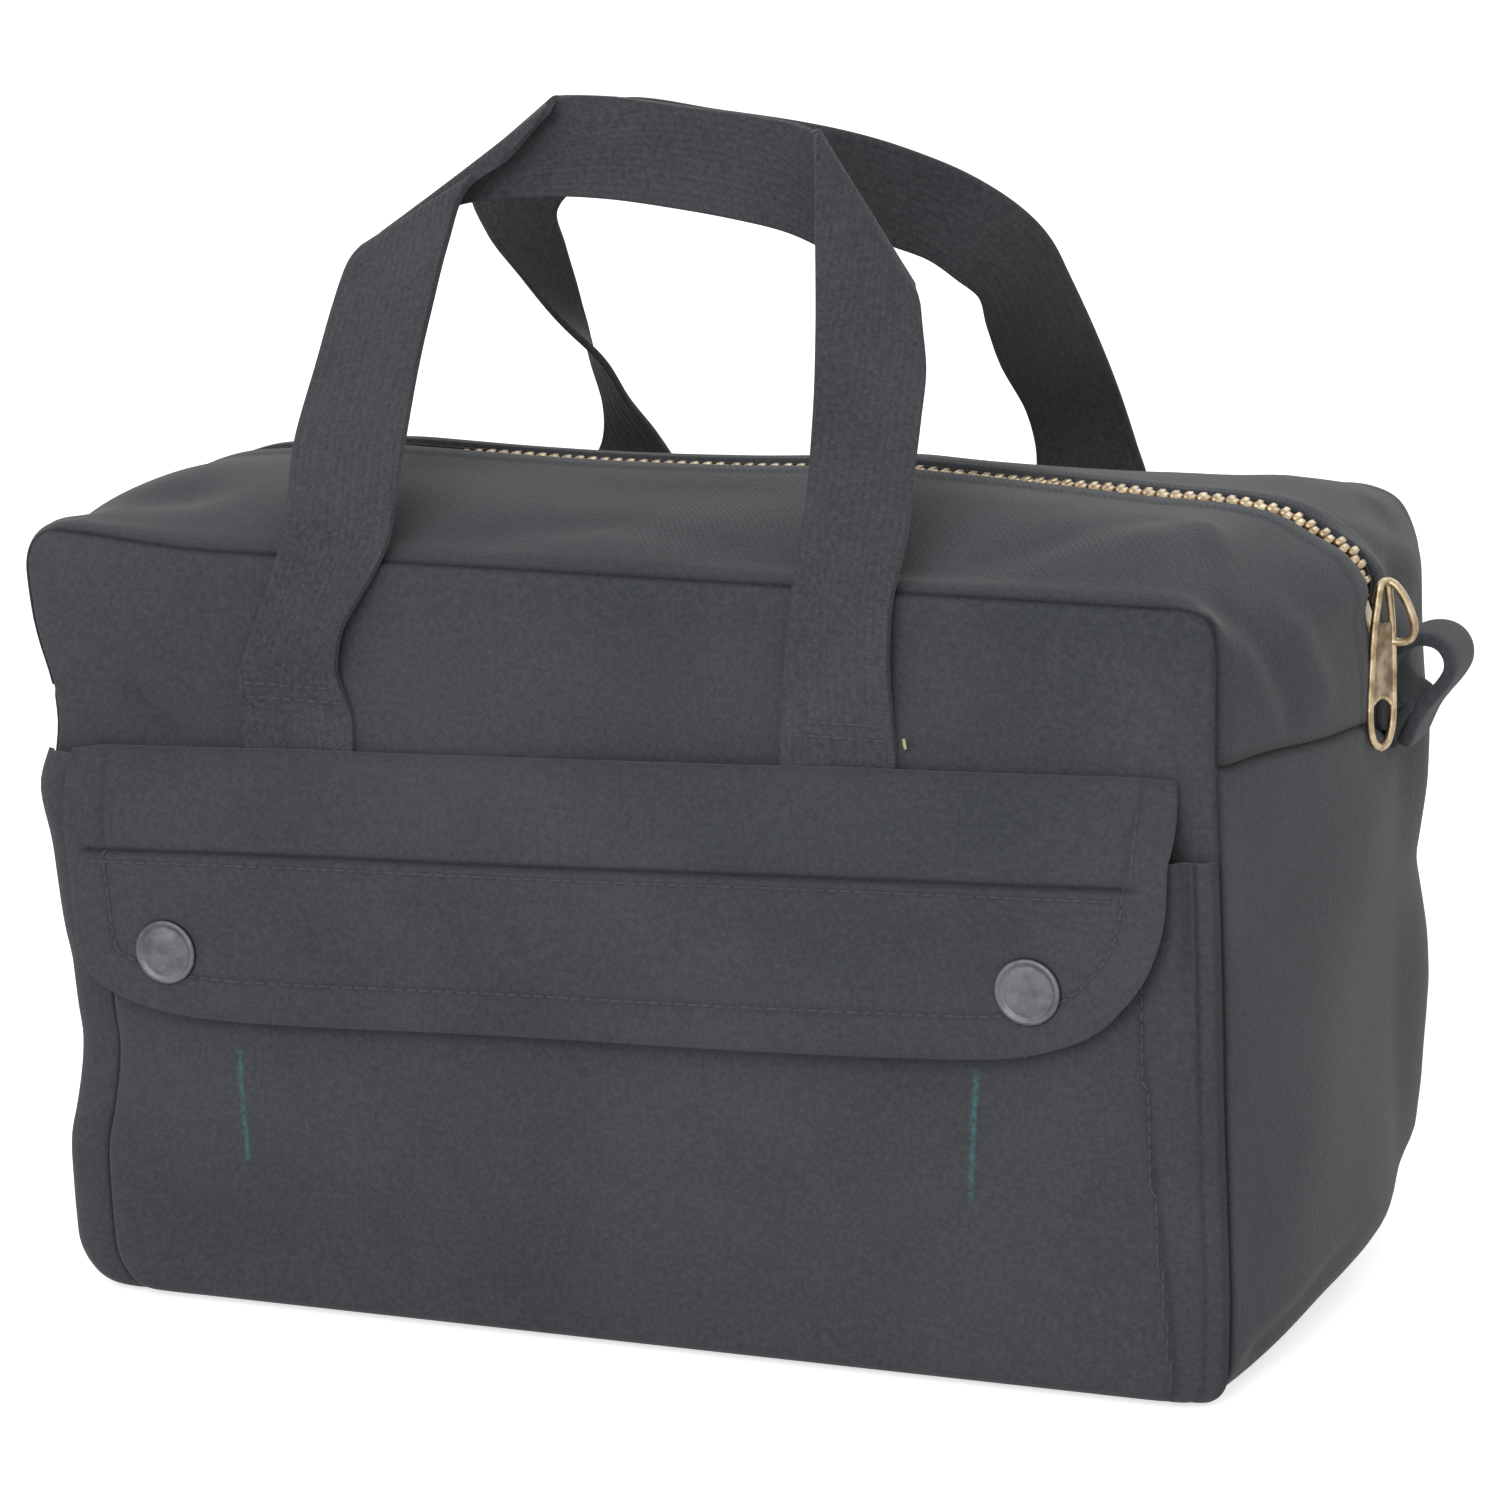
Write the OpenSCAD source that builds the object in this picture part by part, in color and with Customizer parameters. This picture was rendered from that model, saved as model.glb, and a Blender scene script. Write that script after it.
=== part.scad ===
/* [Bag body] */
// Length between the corner seams
bag_l = 280; // [240:1:340]
// Depth from the front panel to the rear panel
bag_d = 152; // [130:1:180]
// Height of the top seams
bag_h = 176; // [160:1:210]
// Canvas thickness of the body
canvas_t = 2; // [1:0.1:2.5]
// How far the ends swell out beyond the corner seams
end_bulge = 15; // [8:1:24]
// How far the closed top rises above the top seams
crown = 14; // [8:1:20]
// Radius of the front and rear panel corners
edge_r = 10; // [6:0.5:14]
// Radius of the bottom edge at the middle of an end
base_r = 24; // [14:1:32]
// Radius of the turn that the zip makes over each shoulder
zip_turn_r = 41; // [36:1:50]
// Length of the straight neck between a shoulder and the end seam, at the corner seams
neck_edge_l = 25; // [20:1:40]
// Length of that neck at the middle of the end
neck_mid_l = 18; // [14:1:22]
// Gap left between neighbouring sewn pieces
seam_gap = 0.3; // [0.2:0.05:0.4]

/* [Mouth and zip] */
// Distance from the straight opening to the zip's turn over each shoulder
mouth_margin = 4; // [3:0.5:12]
// Distance from the zip's centre line to the canvas edge
lip_y = 7; // [6:0.5:9]
// Width of each zip tape
tape_w = 12; // [10:0.5:16]
// Thickness of the zip tape
tape_t = 0.8; // [0.5:0.1:1]
// Pitch of the teeth along one tape
tooth_pitch = 3.2; // [2.8:0.1:4]
// Length of one tooth along the zip
tooth_l = 1.3; // [1:0.1:1.35]
// Height of one tooth
tooth_h = 2.8; // [2:0.1:3]
// Distance from the centre line to the back of a tooth
tooth_back_y = 3.4; // [3:0.1:4]
// How far a tooth of the straight zip passes the centre line
tooth_mesh = 0.6; // [0.3:0.1:0.8]
// Half gap kept between the rows over the shoulders for the slider's post
post_way = 1.3; // [1:0.1:1.5]

/* [Slider and pull] */
// Angle of the slider above level, round the shoulder turn
slider_angle = 19; // [14:1:24]
// Length of the slider
slider_l = 12; // [10:0.5:14]
// Width of the slider
slider_w = 9.6; // [8:0.2:11]
// Thickness of each slider plate
slider_plate_t = 1.5; // [1:0.1:1.8]
// Clearance between the slider and the teeth
slider_clear = 0.4; // [0.3:0.05:0.6]
// Radius of the bail's arch
bail_r = 7.5; // [7:0.1:8.5]
// Radius of the bail's wire
bail_wire_r = 1.2; // [0.9:0.1:1.3]
// Distance of the pull's top bar from the bail's centre
pull_seat_r = 4.8; // [4.5:0.1:5]
// Angle of the pull's top bar above the slider's outward direction
pull_seat_angle = 36; // [25:1:38]
// Length of the pull
pull_l = 38; // [30:1:42]
// Width of the pull
pull_w = 10; // [9:0.5:12]
// Thickness of the pull
pull_t = 1.8; // [1.4:0.1:2]
// Width of the pull's rim
pull_rim = 2.2; // [1.6:0.1:2.4]
// Length of the pull's upper window
pull_window_l = 11.5; // [11:0.5:12.5]
// Length of the pull's lower hole
pull_hole_l = 9.5; // [7:0.5:10]
// Depth of the recess on each face of the pull
pull_recess = 0.4; // [0.2:0.1:0.5]
// Angle at which the pull hangs out from the upright
pull_lean = 7.5; // [6:0.5:12]
// Angle at which the pull is turned towards the front
pull_turn = 10; // [0:1:11]

/* [End loop] */
// Width of the loop's strip
loop_strip_w = 19.5; // [15:0.5:22]
// Outer width of the loop
loop_w = 13.6; // [12:0.2:16]
// Outer length of the loop
loop_l = 19; // [17:0.5:24]
// Thickness of the loop's strip
loop_t = 2.2; // [1.5:0.1:2.4]
// Distance of the loop's middle behind the zip
loop_y = 17; // [16:0.5:22]
// Angle at which the loop leans out from the upright
loop_lean = 20; // [15:1:35]
// Length of the tail that is sewn into the end seam
loop_tail_l = 6.5; // [6:0.5:9]

/* [Pocket and flap] */
// Distance from the left corner seam to the pocket's side
pocket_in_left = 12; // [9:0.5:30]
// Distance from the right corner seam to the pocket's side
pocket_in_right = 6; // [5:0.5:30]
// Height of the pocket's mouth
pocket_h = 122; // [100:1:124]
// Height of the pocket's lower edge
pocket_base = 3; // [2:0.5:6]
// Room inside the pocket from the front panel to its cloth
pocket_room = 5; // [4.6:0.1:7]
// Thickness of the pocket's and the flap's cloth
flap_t = 1.6; // [1:0.1:2]
// Gap between the pocket and the flap, which holds the snaps
snap_gap = 2.6; // [2.4:0.1:3]
// How far the flap reaches past each side of the pocket
flap_over = 3; // [2:0.5:5]
// Height of the flap's sewn line at the middle of the bag
flap_top = 136; // [128:1:140]
// Length of the flap below its sewn line
flap_drop = 63; // [56:1:72]
// Radius of the flap's lower corners
flap_r = 23; // [15:1:30]
// Angle at which the flap and the front handle climb to the right
front_tilt = 2.2; // [0:0.1:2.5]

/* [Snaps] */
// Radius of a snap's cap
snap_cap_r = 7.5; // [6:0.5:8]
// Height of a snap's cap
snap_cap_h = 2; // [1.4:0.1:2.4]
// Radius of the socket, the stud's base and the post
snap_base_r = 5.5; // [4.5:0.1:6]
// Radius of the stud
snap_stud_r = 2.3; // [1.8:0.1:2.6]
// Clearance between the stud and the socket
snap_clear = 0.3; // [0.2:0.05:0.4]
// Distance from the flap's lower edge to the snaps
snap_up = 16; // [13:0.5:20]
// Distance from the pocket's left side to the left snap
snap_in_left = 21.5; // [17:0.5:40]
// Distance from the pocket's right side to the right snap
snap_in_right = 33.5; // [17:0.5:40]

/* [Handles] */
// Width of the webbing
web_w = 28.6; // [25:0.1:32]
// Thickness of the webbing
web_t = 2; // [1.6:0.1:2.2]
// Distance between the sewn ends of a handle
handle_span = 130; // [115:1:140]
// Place of the handles' middle along the bag
handle_x = -9; // [-12:0.5:0]
// Height of the sewn line where a handle starts to swing
handle_base = 148.8; // [146:0.1:156]
// Length of a sewn handle end
handle_end_l = 22; // [18:1:24]
// Height of the crest above the sewn line
handle_rise = 112; // [100:1:130]
// How far the front crest leans in over the top
front_lean = 51; // [45:1:58]
// How far the rear crest leans in over the top
rear_lean = 58; // [45:1:60]

/* [Hidden] */

half_l = bag_l / 2;
half_d = bag_d / 2;
mouth_half = half_l + end_bulge - zip_turn_r - mouth_margin;
pocket_w = bag_l - pocket_in_left - pocket_in_right;
pocket_x = (pocket_in_left - pocket_in_right) / 2;
flap_w = pocket_w + 2 * flap_over;
canvas_in_y = half_d - canvas_t - seam_gap;
tape_in = canvas_t + seam_gap;
chain_in = tape_in + tape_t / 2;
tape_edge_y = tooth_back_y - tooth_h / 4;
overrun = canvas_t / 2;
canvas_colour = [0.24, 0.26, 0.27];
web_colour = [0.22, 0.22, 0.235];
tape_colour = [0.12, 0.12, 0.13];
brass_colour = [0.66, 0.54, 0.36];
steel_colour = [0.50, 0.50, 0.52];

// Every skin below is a family of closed loops, one at each depth y. A loop runs
// along the bottom, round the base, up the end, over the shoulder and along the top.
function swell(y) = 1 - pow(y / half_d, 2);
function end_x(y, in) = half_l + end_bulge * swell(y) - in;
function top_z(y, in) = bag_h + crown * swell(y) - in;
function turn_r(y, in) = edge_r + (zip_turn_r - edge_r) * swell(y) - in;
function foot_r(y, in) = edge_r + (base_r - edge_r) * swell(y) - in;
function neck_l(y) = neck_edge_l + (neck_mid_l - neck_edge_l) * swell(y);
function seam_z(y) = top_z(y, 0) - turn_r(y, 0) - neck_l(y);
function arc_steps(n) = [for (i = [0:n]) 90 * i / n];

// Points of the right half loop, as lists of [x, z]
function base_arc(y, in, n) = [for (a = arc_steps(n))
    [end_x(y, in) - foot_r(y, in) * (1 - sin(a)), in + foot_r(y, in) * (1 - cos(a))]];
function shoulder_arc(y, in, n) = [for (a = arc_steps(n))
    [end_x(y, in) - turn_r(y, in) * (1 - cos(a)), top_z(y, in) - turn_r(y, in) * (1 - sin(a))]];
function end_run(y, in) = concat(base_arc(y, in, 5), [[end_x(y, in), seam_z(y) - seam_gap / 2]]);
function shoulder_run(y, in) = concat([[end_x(y, in), seam_z(y) + seam_gap / 2]],
    shoulder_arc(y, in, 9), [[mouth_half + seam_gap / 2, top_z(y, in)]]);
function bottom_run(y, in) = [for (side = [-1, 1])
    [side * (end_x(y, in) - foot_r(y, in) - seam_gap), in]];
function lip_run(y, in) = [[mouth_half - seam_gap / 2, top_z(y, in)],
    [-mouth_half + seam_gap / 2, top_z(y, in)]];

function spread(low, high, n) = [for (i = [0:n]) low + (high - low) * i / n];
function at_depth(y, run) = [for (p = run) [p[0], y, p[1]]];

// A sheet of cloth: a grid of outer points and the matching grid of inner points
module sheet(outer, inner) {
    rows = len(outer);
    cols = len(outer[0]);
    count = rows * cols;
    points = concat([for (r = outer) for (p = r) p], [for (r = inner) for (p = r) p]);
    skin = [for (r = [0:rows - 2]) for (c = [0:cols - 2])
        let (a = r * cols + c, b = a + 1, e = b + cols, d = a + cols)
        each [[a, b, e], [a, e, d],
            [a + count, e + count, b + count], [a + count, d + count, e + count]]];
    rims = concat(
        [for (c = [0:cols - 2]) let (a = c, b = c + 1) each wall(b, a, count)],
        [for (c = [0:cols - 2]) let (a = (rows - 1) * cols + c) each wall(a, a + 1, count)],
        [for (r = [0:rows - 2]) let (a = r * cols) each wall(a, a + cols, count)],
        [for (r = [0:rows - 2]) let (a = r * cols + cols - 1) each wall(a + cols, a, count)]);
    polyhedron(points, concat(skin, rims), convexity = 6);
}
function wall(a, b, count) = [[a, b, b + count], [a, b + count, a + count]];

// A plate in the front plane with true round corners, standing on its lower left corner
module round_plate(w, h, r, t) {
    rotate([90, 0, 0]) linear_extrude(t) {
        translate([r, 0]) square([w - 2 * r, h]);
        translate([0, r]) square([w, h - 2 * r]);
        for (x = [r, w - r]) for (z = [r, h - r]) translate([x, z]) circle(r, $fn = 48);
    }
}

module front_panel() {
    color(canvas_colour) translate([-half_l, -half_d + canvas_t, 0])
        round_plate(bag_l, bag_h, edge_r, canvas_t);
}
module rear_panel() {
    mirror([0, 1, 0]) front_panel();
}

module end_cloth(y_cells) {
    outer = [for (y = spread(-canvas_in_y, canvas_in_y, y_cells)) at_depth(y, end_run(y, 0))];
    inner = [for (y = spread(-canvas_in_y, canvas_in_y, y_cells)) at_depth(y, end_run(y, canvas_t))];
    sheet(outer, inner);
}
module right_end_panel() {
    color(canvas_colour) end_cloth(12);
}
module left_end_panel() {
    mirror([1, 0, 0]) right_end_panel();
}
module bottom_panel() {
    depths = spread(-canvas_in_y, canvas_in_y, 12);
    outer = [for (y = depths) at_depth(y, bottom_run(y, 0))];
    inner = [for (y = depths) at_depth(y, bottom_run(y, canvas_t))];
    color(canvas_colour) sheet(outer, inner);
}

module shoulder_cloth() {
    depths = spread(-canvas_in_y, -lip_y, 8);
    sheet([for (y = depths) at_depth(y, shoulder_run(y, 0))],
        [for (y = depths) at_depth(y, shoulder_run(y, canvas_t))]);
}
module front_shoulder_right() {
    color(canvas_colour) shoulder_cloth();
}
module front_shoulder_left() {
    mirror([1, 0, 0]) front_shoulder_right();
}
module rear_shoulder_right() {
    mirror([0, 1, 0]) front_shoulder_right();
}
module rear_shoulder_left() {
    mirror([0, 1, 0]) front_shoulder_left();
}

module front_lip() {
    depths = spread(-canvas_in_y, -lip_y, 8);
    color(canvas_colour) sheet([for (y = depths) at_depth(y, lip_run(y, 0))],
        [for (y = depths) at_depth(y, lip_run(y, canvas_t))]);
}
module rear_lip() {
    mirror([0, 1, 0]) front_lip();
}

// The tapes lie under the canvas edges and carry the teeth
tape_depths = spread(-tape_edge_y - tape_w, -tape_edge_y, 3);
module front_tape_right() {
    color(tape_colour) sheet(
        [for (y = tape_depths) at_depth(y, shoulder_run(y, tape_in))],
        [for (y = tape_depths) at_depth(y, shoulder_run(y, tape_in + tape_t))]);
}
module front_tape_left() {
    mirror([1, 0, 0]) front_tape_right();
}
module rear_tape_right() {
    mirror([0, 1, 0]) front_tape_right();
}
module rear_tape_left() {
    mirror([0, 1, 0]) front_tape_left();
}
module front_tape_centre() {
    color(tape_colour) sheet([for (y = tape_depths) at_depth(y, lip_run(y, tape_in))],
        [for (y = tape_depths) at_depth(y, lip_run(y, tape_in + tape_t))]);
}
module rear_tape_centre() {
    mirror([0, 1, 0]) front_tape_centre();
}

// The chain's centre line: straight along the top, then round the shoulder
chain_top_z = top_z(0, chain_in);
turn_x = end_x(0, 0) - zip_turn_r;
turn_z = top_z(0, 0) - zip_turn_r;
chain_r = zip_turn_r - chain_in;
arc_l = chain_r * PI / 2;
flat_l = mouth_margin;
// Teeth over a shoulder run from the mouth's end down to the slider's lower edge
shoulder_chain_l = flat_l + chain_r * (90 - slider_angle) * PI / 180 + slider_l / 6;
shoulder_teeth = floor(shoulder_chain_l / tooth_pitch);
centre_teeth = floor(2 * mouth_half / tooth_pitch) - 1;

// One tooth of the front row, its length along x, reaching to the given depth
module tooth(reach) {
    translate([-tooth_l / 2, -tape_edge_y + seam_gap, -tooth_h / 2])
        cube([tooth_l, tape_edge_y - seam_gap + reach, tooth_h]);
}
// Place a child on the chain at distance s from the mouth's end, going right and down
module on_chain(s) {
    a = max(0, s - flat_l) / chain_r * 180 / PI;
    translate([turn_x, 0, turn_z]) rotate([0, a, 0]) translate([min(0, s - flat_l), 0, chain_r])
        children();
}
module shoulder_row(shift) {
    for (i = [0:shoulder_teeth - 1]) on_chain((i + shift) * tooth_pitch) tooth(-post_way);
}
module centre_row(shift) {
    start = -centre_teeth * tooth_pitch / 2;
    for (i = [0:centre_teeth - 1])
        translate([start + (i + shift) * tooth_pitch, 0, chain_top_z]) tooth(tooth_mesh);
}
front_shift = 0.25;
rear_shift = 0.75;
module front_teeth_right() {
    color(brass_colour) shoulder_row(front_shift);
}
module front_teeth_left() {
    mirror([1, 0, 0]) front_teeth_right();
}
module rear_teeth_right() {
    color(brass_colour) mirror([0, 1, 0]) shoulder_row(rear_shift);
}
module rear_teeth_left() {
    mirror([1, 0, 0]) rear_teeth_right();
}
module front_teeth_centre() {
    color(brass_colour) centre_row(front_shift);
}
module rear_teeth_centre() {
    color(brass_colour) mirror([0, 1, 0]) centre_row(rear_shift);
}

// A stop closes the chain at each end: a bar that is crimped on both tapes
stop_l = tooth_l * 2;
stop_run = flat_l + arc_l + (turn_z - seam_z(0)) / 2;
module zip_stop() {
    on_turn_end() translate([tape_t / 2 + seam_gap / 2, -tape_edge_y - stop_l, -stop_l / 2])
        cube([tape_t, 2 * (tape_edge_y + stop_l), stop_l]);
}
module on_turn_end() {
    translate([end_x(0, chain_in), 0, (turn_z + seam_z(0)) / 2]) children();
}
module zip_stop_right() {
    color(brass_colour) zip_stop();
}
module zip_stop_left() {
    mirror([1, 0, 0]) zip_stop_right();
}

// The slider wraps the chain. Its own frame has x outwards, y across and z up the chain.
slider_out = chain_r + tooth_h / 2 + slider_clear;
slider_low = chain_r - tooth_h / 2 - 2 * slider_clear;
post_half = post_way - seam_gap;
module at_slider() {
    translate([turn_x, 0, turn_z]) rotate([0, -slider_angle, 0]) children();
}
module slider_body() {
    color(brass_colour) at_slider() {
        for (x = [slider_out, slider_low - slider_plate_t])
            translate([x, -slider_w / 2, -slider_l / 2]) cube([slider_plate_t, slider_w, slider_l]);
        translate([slider_low - overrun / 2, -post_half, -slider_l / 2])
            cube([slider_out - slider_low + overrun, 2 * post_half, slider_l / 4]);
    }
}
bail_seat = slider_out + slider_plate_t;
module slider_bail() {
    color(brass_colour) at_slider() translate([bail_seat, 0, 0]) intersection() {
        rotate([90, 0, 0]) rotate_extrude($fn = 64) translate([bail_r, 0])
            circle(bail_wire_r, $fn = 24);
        translate([0, -bail_r, -2 * bail_r]) cube([2 * bail_r, 2 * bail_r, 4 * bail_r]);
    }
}

// The pull hangs with its top bar inside the bail. Its own frame has z along its length.
pull_bar = pull_rim / 2;
pull_top_x = turn_x + bail_seat * cos(slider_angle) + pull_seat_r * cos(slider_angle + pull_seat_angle);
pull_top_z = turn_z + bail_seat * sin(slider_angle) + pull_seat_r * sin(slider_angle + pull_seat_angle);
module slot(w, l, t) {
    rotate([90, 0, 90]) translate([0, 0, -t / 2]) linear_extrude(t) {
        translate([-w / 2, w / 2]) square([w, l - w]);
        for (z = [w / 2, l - w / 2]) translate([0, z]) circle(w / 2, $fn = 48);
    }
}
module pull_tab() {
    inner_w = pull_w - 2 * pull_rim;
    color(brass_colour) translate([pull_top_x, 0, pull_top_z]) rotate([0, -pull_lean, -pull_turn])
        translate([0, 0, pull_bar - pull_l]) difference() {
            slot(pull_w, pull_l, pull_t);
            translate([0, 0, pull_rim]) slot(inner_w, pull_hole_l, pull_t + overrun);
            translate([0, 0, pull_l - pull_rim - pull_window_l])
                slot(inner_w, pull_window_l, pull_t + overrun);
            for (side = [-1, 1]) translate([side * (pull_t - pull_recess), 0,
                2 * pull_rim + pull_hole_l]) slot(inner_w, pull_l - pull_window_l - pull_hole_l
                - 4 * pull_rim, pull_t);
        }
}

// The loop is a folded strip, sewn into the end seam beside the zip
loop_root_x = end_x(loop_y - loop_strip_w / 2, 0) + seam_gap;
loop_root_z = seam_z(loop_y);
module end_loop() {
    eye_r = loop_w / 2;
    color(canvas_colour) translate([loop_root_x, loop_y + loop_strip_w / 2, loop_root_z])
        rotate([0, loop_lean, 0]) rotate([90, 0, 0]) linear_extrude(loop_strip_w) {
            square([loop_t, loop_tail_l + loop_t]);
            translate([eye_r, loop_tail_l + eye_r]) difference() {
                union() {
                    circle(eye_r, $fn = 48);
                    translate([0, loop_l - loop_w]) circle(eye_r, $fn = 48);
                    translate([-eye_r, 0]) square([loop_w, loop_l - loop_w]);
                }
                circle(eye_r - loop_t, $fn = 48);
                translate([0, loop_l - loop_w]) circle(eye_r - loop_t, $fn = 48);
                translate([loop_t - eye_r, 0]) square([loop_w - 2 * loop_t, loop_l - loop_w]);
            }
        }
}

// The pocket is a shallow tray of cloth, open at its top
pocket_front = half_d + pocket_room + flap_t;
module pocket_panel() {
    color(canvas_colour) translate([pocket_x - pocket_w / 2, -half_d, pocket_base]) difference() {
        translate([0, -pocket_room - flap_t, 0])
            cube([pocket_w, pocket_room + flap_t, pocket_h - pocket_base]);
        translate([flap_t, -pocket_room, flap_t])
            cube([pocket_w - 2 * flap_t, pocket_room + overrun, pocket_h]);
    }
}

// The flap and the front handle share one frame, tilted about the middle of the sewn line
flap_back = pocket_front + snap_gap;
flap_front = flap_back + flap_t;
hinge_y = half_d + web_t + flap_t + seam_gap;
module tilted() {
    translate([0, 0, handle_base]) rotate([0, -front_tilt, 0]) translate([0, 0, -handle_base])
        children();
}
module pocket_flap() {
    color(canvas_colour) tilted() translate([pocket_x - flap_w / 2, 0, flap_top - flap_drop]) {
        difference() {
            translate([0, -flap_back, 0]) round_plate(flap_w, flap_drop + flap_r, flap_r, flap_t);
            translate([-overrun, -flap_front - overrun, flap_drop])
                cube([flap_w + 2 * overrun, flap_t + 2 * overrun, flap_r + overrun]);
        }
        translate([0, -flap_front, flap_drop - flap_t])
            cube([flap_w, flap_front - hinge_y + flap_t / 2, flap_t]);
    }
}

snap_xs = [pocket_x - pocket_w / 2 + snap_in_left, pocket_x + pocket_w / 2 - snap_in_right];
snap_z = flap_top - flap_drop + snap_up;
module at_snaps(y) {
    tilted() for (x = snap_xs) translate([x, y, snap_z]) rotate([90, 0, 0]) children();
}
// A cap has a flat rim and a low dome, turned as one piece
module snap_caps() {
    rim = snap_cap_r / 5;
    dome = snap_cap_r - rim;
    color(steel_colour) at_snaps(-flap_front) rotate_extrude($fn = 64)
        polygon([[0, 0], [snap_cap_r, 0], [snap_cap_r, snap_cap_h / 2], [snap_cap_r - rim / 2,
            snap_cap_h * 3 / 4], [dome, snap_cap_h / 2], [dome / 2, snap_cap_h * 3 / 4],
            [0, snap_cap_h * 4 / 5]]);
}
stud_base_t = snap_gap / 4;
module snap_sockets() {
    color(steel_colour) at_snaps(-flap_back + snap_gap - stud_base_t - snap_clear) difference() {
        cylinder(h = snap_gap - stud_base_t - snap_clear, r = snap_base_r, $fn = 48);
        translate([0, 0, -overrun])
            cylinder(h = snap_gap, r = snap_stud_r + snap_clear, $fn = 48);
    }
}
module snap_studs() {
    color(steel_colour) at_snaps(-pocket_front) {
        cylinder(h = stud_base_t, r = snap_base_r, $fn = 48);
        cylinder(h = snap_gap - snap_clear, r = snap_stud_r, $fn = 48);
    }
}
module snap_posts() {
    color(steel_colour) at_snaps(-pocket_front + flap_t + stud_base_t)
        cylinder(h = stud_base_t, r = snap_base_r, $fn = 48);
}

// Places along a handle: [share of the span, share of the lean, share of the rise]
front_handle_shares = [[-0.5, 0, 0.005], [-0.5, 0, 0.035], [-0.485, 0, 0.105], [-0.44, 0, 0.3],
    [-0.42, 0.05, 0.345], [-0.42, 0.295, 0.49], [-0.42, 0.57, 0.63], [-0.405, 0.755, 0.765],
    [-0.37, 0.88, 0.89], [-0.29, 0.97, 0.975], [-0.165, 1, 1.01], [0.01, 1, 1.005], [0.17, 1, 0.99],
    [0.315, 0.99, 0.95], [0.415, 0.94, 0.875], [0.465, 0.825, 0.77], [0.485, 0.645, 0.65],
    [0.505, 0.45, 0.535], [0.525, 0.175, 0.41], [0.54, 0.03, 0.32], [0.53, 0, 0.26],
    [0.51, 0, 0.1], [0.5, 0, 0.035], [0.5, 0, 0.005]];
rear_handle_shares = [[-0.36, 0, 0.005], [-0.36, 0, 0.03], [-0.355, 0, 0.1], [-0.35, 0, 0.265],
    [-0.345, 0.085, 0.325], [-0.34, 0.345, 0.45], [-0.345, 0.57, 0.58], [-0.36, 0.76, 0.715],
    [-0.345, 0.895, 0.84], [-0.285, 0.985, 0.925], [-0.16, 1, 0.955], [0, 1, 0.955],
    [0.16, 1, 0.95], [0.31, 0.985, 0.92], [0.415, 0.915, 0.855], [0.485, 0.765, 0.745],
    [0.525, 0.57, 0.6], [0.54, 0.33, 0.45], [0.56, 0.085, 0.325], [0.56, 0, 0.265],
    [0.56, 0, 0.1], [0.56, 0, 0.03], [0.56, 0, 0.005]];
// Each end of a handle is sewn where its first and last places are
function sewn_xs(shares) = [for (i = [0, len(shares) - 1]) handle_x + handle_span * shares[i][0]];
front_end_xs = sewn_xs(front_handle_shares);
rear_end_xs = sewn_xs(rear_handle_shares);
// The swinging straps stay clear of the panels by the seam gap
web_y = half_d + seam_gap + web_t / 2;

function handle_path(shares, lean) = [for (p = shares)
    [handle_x + handle_span * p[0], -web_y + lean * p[1], handle_base + handle_rise * p[2]]];
function unit(v) = v / norm(v);
function heading(path, i) = unit(path[min(i + 1, len(path) - 1)] - path[max(i - 1, 0)]);
// The strap keeps its width in its own leaning surface, so it turns without a twist
function strap_side(t, back) = unit(cross(back, t));
function strap_row(path, i, back, off, w) = let (t = heading(path, i), s = strap_side(t, back),
    n = unit(cross(t, s))) [path[i] - s * w / 2 + n * off, path[i] + s * w / 2 + n * off];
module strap(shares, lean) {
    path = handle_path(shares, lean);
    backs = [for (p = shares) unit([0, 1, -sin(lean) * min(1, p[1] * 3)])];
    rows = [for (i = [0:len(path) - 1]) i];
    sheet([for (i = rows) strap_row(path, i, backs[i], -web_t / 2, web_w)],
        [for (i = rows) strap_row(path, i, backs[i], web_t / 2, web_w)]);
}
module front_handle() {
    color(web_colour) tilted() strap(front_handle_shares, front_lean);
}
module rear_handle() {
    color(web_colour) mirror([0, 1, 0]) strap(rear_handle_shares, rear_lean);
}
module handle_end(x) {
    translate([x - web_w / 2, -half_d - web_t, handle_base - handle_end_l])
        cube([web_w, web_t, handle_end_l]);
}
module front_handle_end_left() {
    color(web_colour) tilted() handle_end(front_end_xs[0]);
}
module front_handle_end_right() {
    color(web_colour) tilted() handle_end(front_end_xs[1]);
}
module rear_handle_end_left() {
    color(web_colour) mirror([0, 1, 0]) handle_end(rear_end_xs[0]);
}
module rear_handle_end_right() {
    color(web_colour) mirror([0, 1, 0]) handle_end(rear_end_xs[1]);
}

front_panel();
rear_panel();
bottom_panel();
right_end_panel();
left_end_panel();
front_shoulder_right();
front_shoulder_left();
rear_shoulder_right();
rear_shoulder_left();
front_lip();
rear_lip();
front_tape_right();
front_tape_left();
rear_tape_right();
rear_tape_left();
front_tape_centre();
rear_tape_centre();
front_teeth_right();
front_teeth_left();
rear_teeth_right();
rear_teeth_left();
front_teeth_centre();
rear_teeth_centre();
zip_stop_right();
zip_stop_left();
slider_body();
slider_bail();
pull_tab();
end_loop();
pocket_panel();
pocket_flap();
snap_caps();
snap_sockets();
snap_studs();
snap_posts();
front_handle();
rear_handle();
front_handle_end_left();
front_handle_end_right();
rear_handle_end_left();
rear_handle_end_right();
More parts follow.
